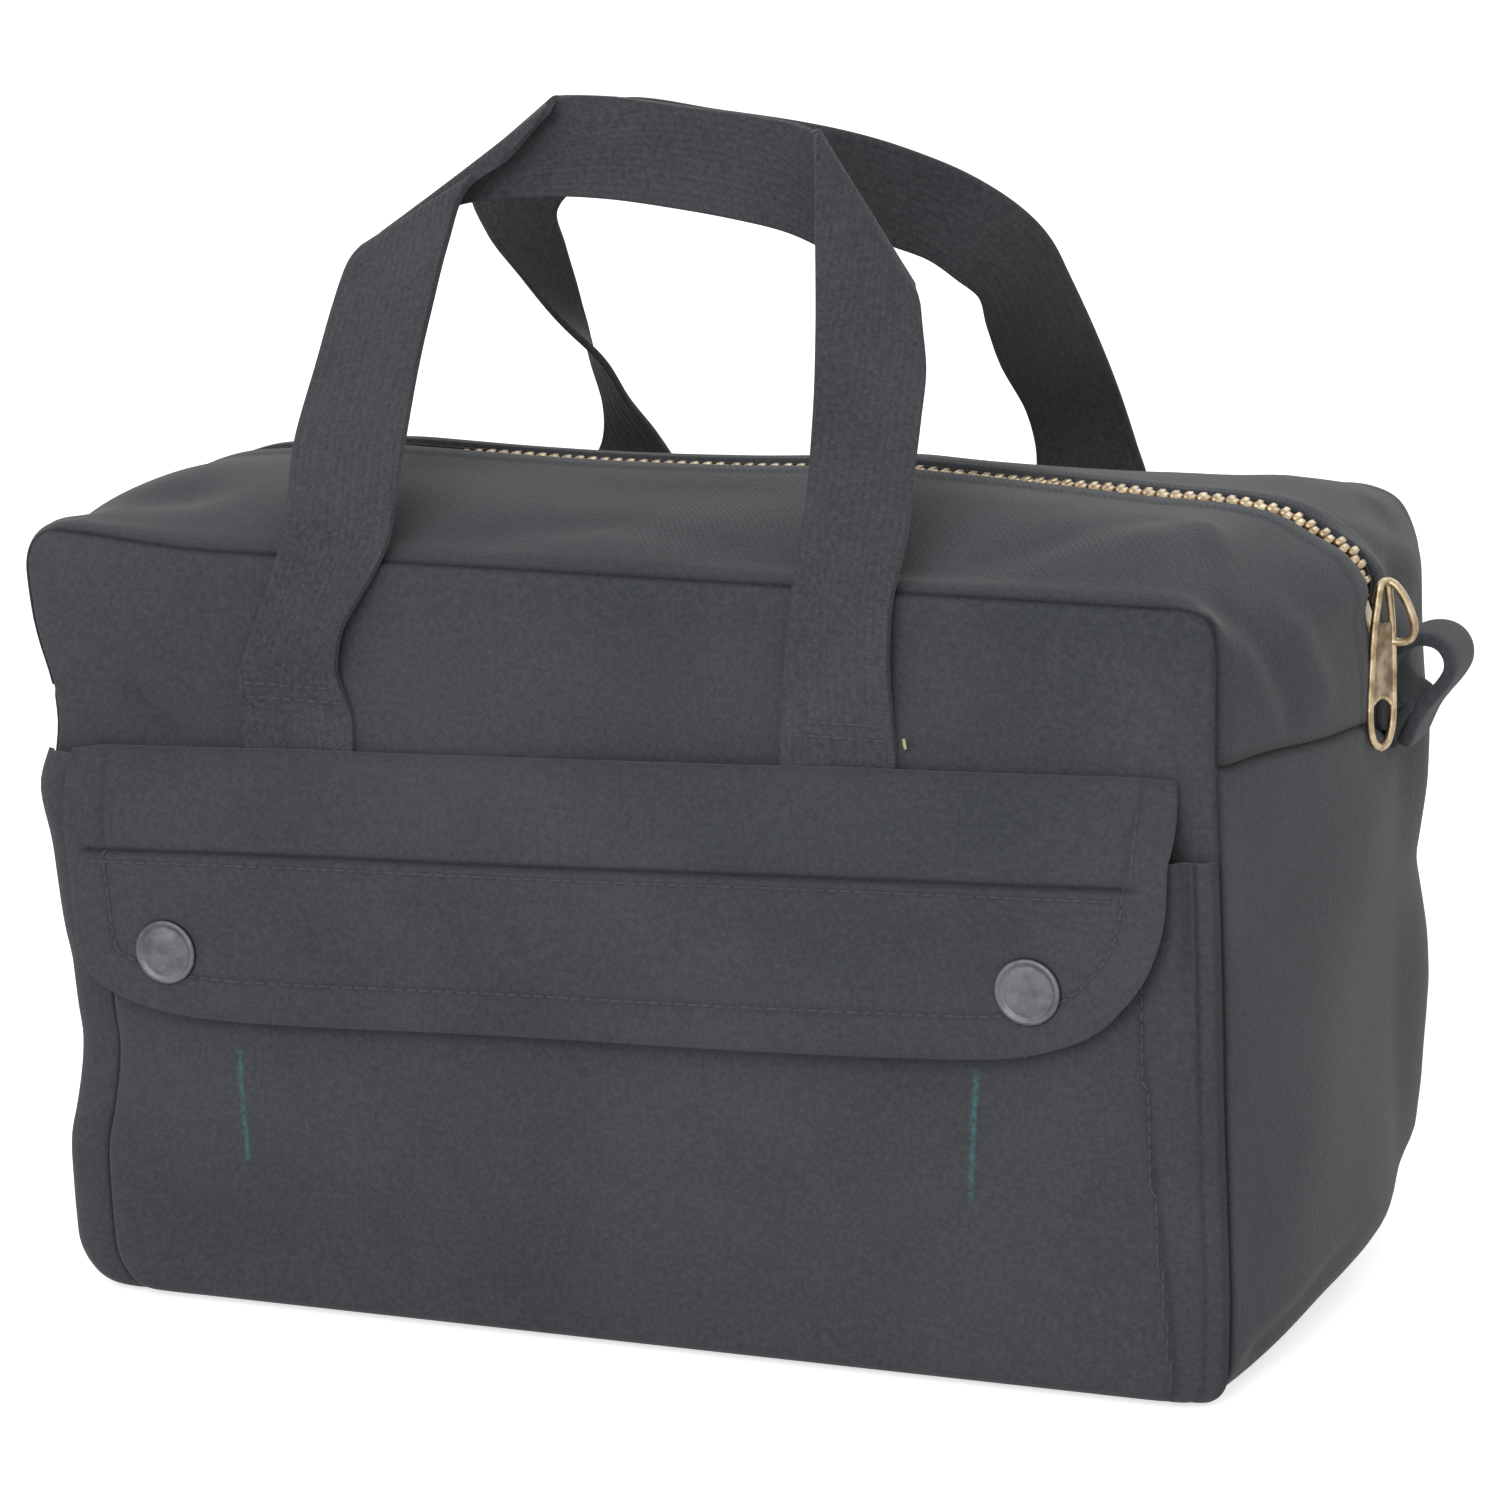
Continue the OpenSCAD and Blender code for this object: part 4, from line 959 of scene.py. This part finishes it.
def flap_out(x, z, edge):
    """How far the flap's face stands out: held at the snaps, wavy between them, with a tuck and a doubled hem."""
    held = np.maximum(bump(x, SNAP_XS[0], 17), bump(x, SNAP_XS[1], 17)) * bump(z, SNAP_Z, 16)
    low = 1 - smooth(z, 70, 100)
    between = smooth(x, -92, -60) * (1 - smooth(x, 66, 98))
    belly = (1.3 + 0.5 * np.sin(x / 26 + 0.4)) * low * between
    corner = 1.5 * (1 - smooth(z, 74, 108)) * (smooth(x, 112, 131) + 0.6 * smooth(-x, 114, 130))
    wander = 0.34 * np.sin(x / 19 + z / 13) + 0.3 * np.sin(x / 33 - z / 9 + 1.0)
    free = smooth(134 - z, 4, 18)
    tuck = np.interp(z - TUCK_Z, *tuck_curve.T) * (1 - smooth(x, 121, 127)) * (1 - smooth(-x, 124.5, 128))
    hem = (0.35 * (1 - smooth(edge, HEM - 1, HEM + 0.6)) - 0.3 * bump(edge, HEM, 0.8)
           - 0.5 * (1 - smooth(edge, 0, 1.3))) * (1 - 0.7 * smooth(z, 114, 126))
    sewn_down = 1 - 0.7 * smooth(x, 116, 131) * smooth(z, 116, 131)
    face = np.interp(z, *hang.T) + ((1 - held) * (belly + corner + wander) + hem) * free
    return face * sewn_down + 1 - 0.9 * sewn_down + tuck


def flap_grid():
    """The flap in its tilted frame; the first rows hold the turned sewn edge, the rest hang from it."""
    under = through(FLAP_DOWN[:4], np.linspace(0, 1, 9))
    down = np.concatenate([steps(FLAP_TOP, TUCK_Z + 4, 46, 0.3), steps(TUCK_Z + 4, TUCK_Z - 6, 36)[1:],
                           steps(TUCK_Z - 6, LOW_EDGE, 60, 0.9)[1:]])
    rows_z = np.concatenate([under[:, 0], down[1:]])[:, None]
    t = steps(0, 1, 190, 0.55)[None, :]
    left, right = -np.interp(rows_z, *reach_left.T), np.interp(rows_z, *reach_right.T)
    x = left + (right - left) * t
    edge = from_edge(x, rows_z + 0 * x)
    out = flap_out(x, rows_z, edge)
    flat = smooth(x[:len(under)], 116, 131)
    out[:len(under)] = under[:, 1:] * (1 - 0.7 * flat) + 0.1 + 0.63 * flat
    strap = np.maximum(bump(x, -73, 15), bump(x, 56, 15)) * smooth(rows_z, 120, 132)
    droop = (0.8 * smooth(x, 123, 135) + 1.0 * smooth(-x, 122, 131)) * smooth(rows_z, 118, 134)
    # painted shade: a dark line along the tuck, a faint one along the hem stitches, and the turned top rows darkened
    # except where the flap lies flat at the right
    shade = np.maximum(0.8 * np.exp(-((rows_z - TUCK_Z - 0.1) / 0.7) ** 2) * (1 - smooth(x, 121, 127)) * (
        1 - smooth(-x, 124.5, 128)), 0.3 * bump(edge, HEM, 0.8))
    shade[:3] = 1 - flat[:3]
    return np.stack([x, -HALF_D - out - 0.8 * strap, rows_z + 0.5 * strap - droop], -1), shade


flap, shade = flap_grid()
flap_piece = thicken(grid_mesh("flap_cloth", tilt(flap), shade=shade), FLAP_THICK, rim=0.45)
settle(flap_piece, "flap", canvas, ["pocket_flap"])


# %% [markdown]
# ## Stitches
# A lockstitch shows as short bars of thread with small gaps. A dashed pattern on the cloth would look flat from
# the side, and a tube for each thread would be heavy, so one bar of a few faces is copied along each sewn line.

# %% Stitches
def along_path(path, pitch, start=0.5):
    """Even places on a path of points, with the travel direction at each."""
    step = np.linalg.norm(np.diff(path, axis=0), axis=1)
    s = np.concatenate([[0], np.cumsum(step)])
    want = np.arange(start * pitch, s[-1], pitch)
    at = np.stack([np.interp(want, s, path[:, k]) for k in range(3)], 1)
    ahead = np.stack([np.interp(want + 0.4, s, path[:, k]) for k in range(3)], 1)
    behind = np.stack([np.interp(want - 0.4, s, path[:, k]) for k in range(3)], 1)
    way = ahead - behind
    return at, way / np.linalg.norm(way, axis=1, keepdims=True)


def stitch_row(name, paths, outward, body, lift=0.12, pitch=3.1, length=2.3):
    """Little bars of thread along paths that lie on the cloth. outward is the cloth's direction at each path."""
    frames = []
    for path, normal in zip(paths, outward):
        at, way = along_path(np.asarray(path, float), pitch)
        n = np.broadcast_to(np.asarray(normal, float), at.shape)
        side_way = np.cross(way, n)
        side_way /= np.linalg.norm(side_way, axis=1, keepdims=True)
        n = np.cross(side_way, way)
        frames.append(np.stack([at + n * lift, side_way, way, n], 1))
    shape = closed_bar(length, 0.55, 0.45, 6)
    return settle(many(name, shape, np.concatenate(frames)), body, thread)


def on_flap(x, z):
    """Points on the outer face of the flap, in the bag's own frame."""
    x, z = np.broadcast_arrays(np.asarray(x, float), np.asarray(z, float))
    return tilt(np.stack([x, -HALF_D - flap_out(x, z, from_edge(x, z)), z], -1))


way = np.gradient(outline, axis=0)
inward = np.stack([-way[:, 1], way[:, 0]], 1) / np.linalg.norm(way, axis=1, keepdims=True)
hem_line = (outline + inward * HEM)[outline[:, 1] < TUCK_Z]
hem_line = hem_line[from_edge(*hem_line.T) > HEM - 0.3]
tuck_x = np.linspace(-125, 121, 240)
side_z = np.linspace(TUCK_Z + 2, 128, 24)
flap_rows = [on_flap(*hem_line.T), on_flap(tuck_x, TUCK_Z - 2.4), on_flap(124.0 + 0 * side_z, side_z)]
stitch_row("flap_stitches", flap_rows, [(0, -1, 0)] * 3, "flap")

# %% The stitched fold of the pocket
rows_at = np.arange(10, len(pocket) - 8)
fold_x = np.interp(pocket[rows_at, 0, 2], *np.array(SEWN_FOLD).T)
columns = np.abs(pocket[rows_at, :, 0] - fold_x[:, None] - 2.4).argmin(1)
stitch_row("pocket_stitches", [pocket[rows_at, columns]], [(0, -1, 0)], "bag")

# %% [markdown]
# ## Handles
# Each handle is one long strap of webbing. The front one is sewn flat to the bag, stands up, and is folded back
# on itself at each shoulder, as paper is at a mitred corner: the leg stays in front and tapers to a point, and
# the band across the top shows the strap's other face. A fold is too sharp for a swept profile, so the strap is
# ruled: each row joins a point of one edge to a point of the other, and the rows fan round the corner. The rear
# handle turns softly and twists once, which the same rows can say.

# %% The front strap's two edges, row by row, from the left sewn end to the right one
# left or lower edge (x, y, z), then right or upper edge
FRONT_EDGES = [
    [-86.3, -77.2, 126, -60.4, -77.2, 126.8], [-87.6, -77.2, 138.9, -60.2, -77.2, 139.8],
    [-88.3, -77.2, 147.9, -62.7, -78.4, 148.3], [-86.7, -77.3, 152, -62.6, -79.8, 153.3],
    [-84.2, -77.3, 158.1, -60.6, -80.8, 160.8], [-81.7, -77.3, 164.1, -56.8, -80.4, 167.5],
    [-78.9, -77.2, 171.6, -52.8, -79, 174.5], [-76.5, -76.6, 179, -50.4, -76.8, 180.9],
    [-76.8, -72, 187, -49.9, -74, 188.4], [-80.2, -60, 198.9, -52.3, -62.4, 200.9],
    [-80.6, -46.6, 214, -54, -50.4, 215.9], [-79.8, -38.6, 226, -53.1, -44.2, 228.5],
    [-77.8, -34.4, 235, -50.9, -39.6, 242], [-75.3, -32.6, 238.7, -47.3, -35.6, 254.6],
    [-72.6, -31.8, 240.3, -36.9, -33.2, 262.3], [-69.6, -31, 242.6, -28.8, -32.2, 271.2],
    [-69.5, -29.2, 241.2, -28.9, -30, 272.5], [-66.9, -27.2, 242.1, -28.7, -27.6, 273.6],
    [-61.6, -26.4, 245, -27.2, -26.6, 274.2], [-51.9, -25.6, 249.3, -23, -26.2, 274.6],
    [-33.9, -24.8, 251.4, -14.1, -26.6, 274.5], [-18, -24.4, 251.4, -6.1, -27.2, 273.9],
    [-2.1, -24.2, 249.9, 4, -27.8, 272.9], [13.9, -24.6, 247.8, 14.9, -28.4, 272],
    [27, -25.2, 245.2, 24.1, -28.8, 270.9], [40, -26.2, 240.2, 30.4, -29.4, 269.9],
    [50, -27.2, 237.4, 33.6, -29.8, 268.8], [55.8, -28.8, 236, 35.4, -31, 268.8],
    [57.9, -31.6, 233.9, 35.8, -33.2, 266.6], [59.6, -33, 231, 36.4, -35.2, 260],
    [61.1, -35.6, 226, 37.4, -38.2, 249], [63.8, -41, 217.7, 39.4, -44, 233],
    [65.3, -48.4, 208.7, 41.4, -50.6, 217.9], [67.1, -58, 199.2, 43.9, -60, 205],
    [69.8, -69.6, 189.6, 46.5, -70.6, 193], [70.4, -77.6, 182.2, 46.8, -76, 184],
    [69.2, -79.4, 175, 45.8, -77, 176.1], [68.7, -80.2, 167.9, 44.9, -77.3, 168.5],
    [68.4, -79.8, 157.9, 43.7, -77.3, 157.9], [68.5, -78.8, 152.3, 43.2, -77.3, 152.1],
    [68.6, -77.9, 147.5, 42.8, -77.2, 147.3], [69, -77.2, 140, 42.4, -77.2, 139.1],
    [69, -77.2, 131, 42.2, -77.2, 130.1]]
REAR_EDGES = [
    [-40.6, 77.2, 127, -69.2, 77.2, 127], [-40.6, 77.2, 148, -69.2, 77.2, 148],
    [-40.8, 77.3, 158, -69.2, 77.3, 157], [-42, 77, 169, -68, 77.6, 167], [-46, 72.6, 179, -62.4, 76, 176.1],
    [-49.3, 62.4, 189.4, -58.9, 69.6, 186.8], [-50.7, 50, 201, -57.8, 60.6, 198.7],
    [-56.7, 37, 212.9, -55.8, 52, 209.9], [-61.7, 26, 224.9, -53.2, 41, 220.9],
    [-66.4, 18, 236.1, -51.6, 31, 231.7], [-67.6, 13.6, 248, -50.5, 23.6, 240.4],
    [-54, 13.8, 258.7, -45, 20.6, 246.4], [-44.8, 14.6, 264.9, -38, 19.8, 249.6],
    [-28.1, 15, 269.2, -26, 19.4, 246.6], [-6, 15, 267, -8, 19.4, 245], [13.9, 15, 264.8, 10, 19.8, 243.8],
    [29.5, 15.4, 262, 24.1, 20.2, 239.7], [42.6, 17.2, 258, 34.1, 20.8, 236],
    [53.4, 21.4, 252.8, 42.2, 22.4, 232.9], [62, 28.6, 245.5, 48.2, 25.2, 228],
    [66.8, 37.2, 237.1, 51.4, 31.6, 222.8], [69.1, 47, 225.5, 49.4, 43, 214],
    [71.5, 58.4, 210.8, 48, 57, 202.9], [73.3, 69, 196.4, 49.9, 68.8, 191],
    [75.4, 75.6, 182.9, 50.3, 75.8, 180.1], [78.4, 77.3, 171, 49.8, 77.3, 169.6],
    [78.2, 77.3, 158, 49.7, 77.3, 157], [78.1, 77.2, 148, 49.7, 77.2, 148], [78.1, 77.2, 127, 49.7, 77.2, 127]]


def ruled_strap(edges, rows, cols=15):
    """Smooth curves run through the two edges, and each row of the strap is a straight line between them."""
    table = np.asarray(edges, float)
    both = through(table, np.linspace(0, 1, rows))
    t = np.linspace(0, 1, cols)[None, :, None]
    return both[:, None, :3] * (1 - t) + both[:, None, 3:] * t


WEB_THICK = 1.8
STRAP_Y, STRAP_STILL, STRAP_SWINGS = 0.0783, 0.1455, 0.1525
for side, edges, hold in (("front", FRONT_EDGES, -STRAP_Y), ("rear", REAR_EDGES, STRAP_Y)):
    piece = thicken(grid_mesh(f"{side}_strap_web", ruled_strap(edges, 400)), WEB_THICK, rim=0.55, offset=0.0)
    settle(piece, ("bag", f"{side}_strap", (0.0, hold, STRAP_STILL), (0.0, hold, STRAP_SWINGS)), webbing,
           [f"{side}_handle", f"{side}_handle_end_left", f"{side}_handle_end_right"])

# %% The strap ends are sewn with two rows of stitches across
def across_strap(edges, height):
    """A line across the strap at about the given height on its sewn end, from edge to edge, on its outer face."""
    lines = []
    table = np.asarray(edges, float)
    for part in (table[:6], table[-6:][::-1]):
        order = np.argsort(part[:, 2])
        a = [np.interp(height, part[order, 2], part[order, k]) for k in range(2)]
        b = [np.interp(height, part[order, 5], part[order, k + 3]) for k in range(2)]
        s = np.linspace(0.06, 0.94, 12)[:, None]
        out = np.sign(a[1]) * WEB_THICK / 2
        lines.append(np.column_stack([a[0] + (b[0] - a[0]) * s, a[1] + (b[1] - a[1]) * s + out, height + 0 * s]))
    return lines


for name, edges, facing in (("front_strap_stitches", FRONT_EDGES, -1), ("rear_strap_stitches", REAR_EDGES, 1)):
    rows = across_strap(edges, 146.8) + across_strap(edges, 143.6)
    stitch_row(name, rows, [(0, facing, 0)] * len(rows), "bag")

# %% [markdown]
# ## A loose thread end
# Beside the right strap a short pale end of thread sticks out over the cloth. It is one more bar, with a straw
# colour of its own.

# %% One pale thread end beside the right strap
pale, shader, add, calc = new_finish("pale thread", Roughness=0.8)
fleck = add("TexNoise", Vector=add("TexCoord").outputs["Object"], Scale=900.0, Detail=2.0).outputs["Fac"]
straw = mix(add, "MIX", fleck, (0.26, 0.25, 0.13), (0.52, 0.50, 0.30))
pale.node_tree.links.new(straw, shader.inputs["Base Color"])
SLOTS["pale thread"] = "webbing"
thread_end = np.array([[[71.2, -78.0, 143.2], [0.98, 0, 0.2], [-0.2, 0, 0.98], [0, -1, 0]]])
settle(many("loose_thread_end", closed_bar(2.4, 0.75, 0.5, 6), thread_end), "bag", pale)

# %% [markdown]
# ## Cast parts
# The slider's casting and the two stops have the right form in the frame, but cast brass has soft edges. Drawing
# them anew would repeat work, so a copy of each solid is cleaned, its flat triangles are joined, and a bevel
# rounds it.

# %% Cast parts: a cleaned copy with rounded edges
def cast_copy(name, node, rounding):
    """A frame solid's own shape with its triangles joined into flats and its edges rounded."""
    piece = bpy.data.objects.new(name, frame_nodes[node].data.copy())
    bpy.context.scene.collection.objects.link(piece)
    work = bmesh.new()
    work.from_mesh(piece.data)
    bmesh.ops.remove_doubles(work, verts=work.verts, dist=1e-5)
    bmesh.ops.dissolve_limit(work, angle_limit=math.radians(2), verts=work.verts, edges=work.edges)
    bmesh.ops.recalc_face_normals(work, faces=work.faces)
    if node == "slider_body":
        bmesh.ops.scale(work, vec=(1, CASTING_SHARE, 1), verts=work.verts)
        bmesh.ops.translate(work, vec=(-0.0007, 0, 0), verts=work.verts)
    work.to_mesh(piece.data)
    work.free()
    piece.data.polygons.foreach_set("use_smooth", np.ones(len(piece.data.polygons), bool))
    edge = piece.modifiers.new("cast edges", "BEVEL")
    edge.width, edge.segments, edge.limit_method = rounding * MM, 3, "ANGLE"
    edge.angle_limit, edge.use_clamp_overlap, edge.harden_normals = math.radians(28), True, True
    return piece


frame_nodes = {name: bpy.data.objects[name] for name in ("slider_body", "zip_stop_right", "zip_stop_left")}
# the slider is narrower than its frame solid, so that the cloth's edge can lie over it
CASTING_SHARE = 0.55
for name, node, body, rounding in (("slider_casting", "slider_body", "slider", 0.35),
                                   ("top_stop_right", "zip_stop_right", "bag", 0.2),
                                   ("top_stop_left", "zip_stop_left", "bag", 0.2)):
    settle(cast_copy(name, node, rounding), body, brass, [node])


# %% [markdown]
# ## Bail and pull
# The bail is a bent wire, and the pull is a pressed plate: a round rim about a thinner web with an eye below.
# Bevelled solids would look like blocks here, so a bar is swept along the wire and round the rim, and the web is
# a small grid between.

# %% The bail and the pull
def rod(name, path, radius, closed=False, sides=14, flat=1.0, square=1.0):
    """A bar along a path: each point carries a ring. flat stretches the ring in y's direction, and a low square
    turns the circle into a rounded box."""
    path = np.asarray(path, float)
    way = np.roll(path, -1, 0) - np.roll(path, 1, 0) if closed else np.gradient(path, axis=0)
    way /= np.linalg.norm(way, axis=1, keepdims=True)
    side = np.cross(way, PULL_FACE if closed else [0, 1, 0])
    side /= np.linalg.norm(side, axis=1, keepdims=True)
    other = np.cross(side, way)
    a = np.linspace(0, 2 * np.pi, sides, endpoint=False)[None, :, None]
    u, v = (np.sign(f(a)) * np.abs(f(a)) ** square for f in (np.cos, np.sin))
    rings = path[:, None] + radius * (u * side[:, None] + flat * v * other[:, None])
    count = len(path)
    rows, cols = np.meshgrid(np.arange(count if closed else count - 1), np.arange(sides), indexing="ij")
    below, beside = (rows + 1) % count, (cols + 1) % sides
    faces = np.stack([rows * sides + cols, rows * sides + beside, below * sides + beside, below * sides + cols], -1)
    faces = [list(f) for f in faces.reshape(-1, 4)]
    if not closed:
        for first, turn in ((0, -1), ((count - 1) * sides, 1)):
            faces += [[first, first + k + 1, first + k + 2, first + (k + 3) % sides][::turn]
                      for k in range(0, sides - 2, 2)]
    return to_mesh(name, rings.reshape(-1, 3), faces)


# the pull hangs from the bail, a little turned towards the front: where it starts, its way down and its width
PULL_TOP, PULL_END = np.array([156.8, -1.0, 169.6]), np.array([157.8, -7.0, 130.6])
PULL_LENGTH = np.linalg.norm(PULL_END - PULL_TOP)
PULL_DOWN = (PULL_END - PULL_TOP) / PULL_LENGTH
PULL_FACE = np.cross([0.34, 0.94, 0.0], PULL_DOWN)
PULL_FACE /= np.linalg.norm(PULL_FACE)
PULL_WIDE = np.cross(PULL_DOWN, PULL_FACE)
# half the rim's outline: how far down, and how far out
PULL_RIM = [[0.9, 0], [1.5, 1.2], [3, 1.8], [6, 2.5], [9.8, 3.2], [14, 3.7], [19, 4.0], [24, 4.25], [28, 4.4],
            [31.5, 4.35], [34.5, 3.7], [36.8, 2.3], [37.7, 0]]


def on_pull(down, out, lift=0.0):
    """Points of the pull's own plane in the bag's frame: down its length, out to a side, lifted from its face."""
    down, out = np.asarray(down, float)[..., None], np.asarray(out, float)[..., None]
    return PULL_TOP + down * PULL_DOWN + out * PULL_WIDE + lift * PULL_FACE


half_rim = through(PULL_RIM, np.linspace(0, 1, 60))
rim_line = np.concatenate([half_rim, half_rim[::-1][1:-1] * [1, -1]])
rim = rod("pull_rim", on_pull(*rim_line.T), 0.95, closed=True, flat=0.95)
t, s = np.linspace(-1, 1, 17)[None, :], np.linspace(0, 1, 30)[:, None]
web_down = (10.2 - 1.4 * t ** 2) * (1 - s) + (26.4 + 2.2 * t ** 2) * s
web_out = np.interp(web_down, half_rim[:, 0], half_rim[:, 1]) * t
web_grid = grid_mesh("pull_web", on_pull(web_down, web_out), away_from=PULL_TOP - [40, 0, 0])
web = thicken(web_grid, 1.0, rim=0.3, offset=0.0)
eye = rod("pull_eye_edge", on_pull(web_down[-1], web_out[-1] * 0.96), 0.6)
settle(rim, "pull", brass, ["pull_tab"])
settle(web, "pull", tarnished, ["pull_tab"])
settle(eye, "pull", brass, ["pull_tab"])
# the bail's wire as (x, z), from the casting up, over and back
BAIL = [[154.6, 163.6], [155.2, 166.6], [156.6, 168.4], [158.8, 167.9], [160.9, 165.3], [162.5, 161.9],
        [163.4, 158.6], [162.6, 155.9], [159.8, 154.9], [155.2, 155.6]]
bail_xz = through(BAIL, np.linspace(0, 1, 70))
bail_path = np.stack([bail_xz[:, 0], 0.4 + 0 * bail_xz[:, 0], bail_xz[:, 1]], -1)
settle(rod("slider_bail_wire", bail_path, 0.95, flat=1.25), "slider", brass, ["slider_bail"])


# %% [markdown]
# ## Snaps
# A snap is pressed and turned in four parts: cap and socket on the flap, stud and post on the pocket. Each is
# round, so half a profile carried round an axis makes it. A plain cylinder would miss the rolled edge that
# catches the light.

# %% Turned snaps
def turned(name, profile, places, count=56):
    """Carries a profile of (radius, height) round an axis that points to the front, at each place."""
    profile = np.asarray(profile, float)
    a = np.linspace(0, 2 * np.pi, count, endpoint=False)
    radius, height = profile[:, :1], profile[:, 1:]
    shape = np.stack([radius * np.cos(a), -height + 0 * a, radius * np.sin(a)], -1)
    parts = [tilt(shape + np.asarray(spot, float)) for spot in places]
    pieces = [grid_mesh(name, part, wrap=True, away_from=part.reshape(-1, 3).mean(0) + [0, 0.5, 0]) for part in parts]
    return joined(pieces, name)


def joined(pieces, name):
    """Several meshes as one, so that equal fasteners are one piece."""
    work = bmesh.new()
    for piece in pieces:
        work.from_mesh(piece.data)
        bpy.data.objects.remove(piece)
    bmesh.ops.remove_doubles(work, verts=work.verts, dist=1e-6)
    mesh = bpy.data.meshes.new(name)
    work.to_mesh(mesh)
    work.free()
    mesh.polygons.foreach_set("use_smooth", np.ones(len(mesh.polygons), bool))
    piece = bpy.data.objects.new(name, mesh)
    bpy.context.scene.collection.objects.link(piece)
    return piece


FLAP_FRONT, FLAP_BACK, POCKET_FRONT, POST_IN = 86.8, 85.2, 82.6, 1.62
# half profiles as (radius, height), from the middle of the outer face to the middle of the back
CAP = [[0, 1.42], [2.0, 1.36], [4.0, 1.18], [5.4, 0.95], [5.75, 0.9], [6.0, 1.02], [6.4, 1.38], [6.9, 1.5],
       [7.25, 1.34], [7.48, 0.98], [7.5, 0.5], [7.42, 0.1], [7.0, -0.05], [0, -0.05]]
SOCKET = [[0, 0.0], [5.3, 0.0], [5.5, -0.3], [5.5, -1.2], [5.2, -1.6], [4.4, -1.66], [3.6, -1.3], [3.1, -1.3],
          [2.8, -1.62], [2.62, -1.5], [2.6, -0.5], [0, -0.5]]
STUD = [[0, 2.2], [1.5, 2.15], [2.1, 1.9], [2.3, 1.4], [2.1, 0.95], [2.2, 0.75], [4.9, 0.62], [5.4, 0.45],
        [5.5, 0.2], [5.4, -0.02], [0, -0.02]]
POST = [[0, 0.02], [5.5, 0.02], [5.5, -0.3], [5.2, -0.6], [3.6, -0.62], [3.2, -0.4], [0, -0.42]]
for name, profile, out, body, node in (("snap_cap_domes", CAP, FLAP_FRONT + 0.1, "flap", "snap_caps"),
                                       ("snap_socket_rings", SOCKET, FLAP_BACK, "flap", "snap_sockets"),
                                       ("snap_stud_heads", STUD, POCKET_FRONT, "bag", "snap_studs"),
                                       ("snap_post_rings", POST, POCKET_FRONT - POST_IN, "bag", "snap_posts")):
    settle(turned(name, profile, [(x, -out, SNAP_Z) for x in SNAP_XS]), body, steel, [node])

# %% [markdown]
# ## End loop
# The loop is a strip folded into a teardrop, with both ends in the end seam. Its middle line is drawn as seen
# from the side, and a flat bar with soft edges is swept along it, which keeps the strip's thickness even where it
# bends.

# %% End loop: a teardrop line carried across the strip's width
LOOP_Y, LOOP_W, LOOP_T = 17.5, 18.5, 3.4
# the strip's middle line as (x, z): up the end, over the top, and slanting back to the seam
LOOP_LINE = [[155.9, 128.9], [156.4, 132.3], [158.1, 135.7], [160.2, 138.5], [158.8, 139.9], [156.5, 141.2],
             [155, 143.9], [154.5, 147], [155.8, 149.8], [158.1, 152.1], [161.4, 153.6], [164.8, 153.7],
             [167.5, 152.4], [169.1, 149.8], [169.1, 146.7], [167.3, 143.5], [164.7, 140.3], [161.9, 136.3],
             [158.9, 129.5]]
line = through(LOOP_LINE, np.linspace(0, 1, 110))
loop_path = np.stack([line[:, 0], LOOP_Y + 0 * line[:, 0], line[:, 1]], -1)
settle(rod("end_loop_strip", loop_path, LOOP_T / 2, sides=44, flat=LOOP_W / LOOP_T, square=0.4), "loop", canvas,
       ["end_loop"])

# %% Finish: bring the scene up to date
bpy.context.view_layer.update()
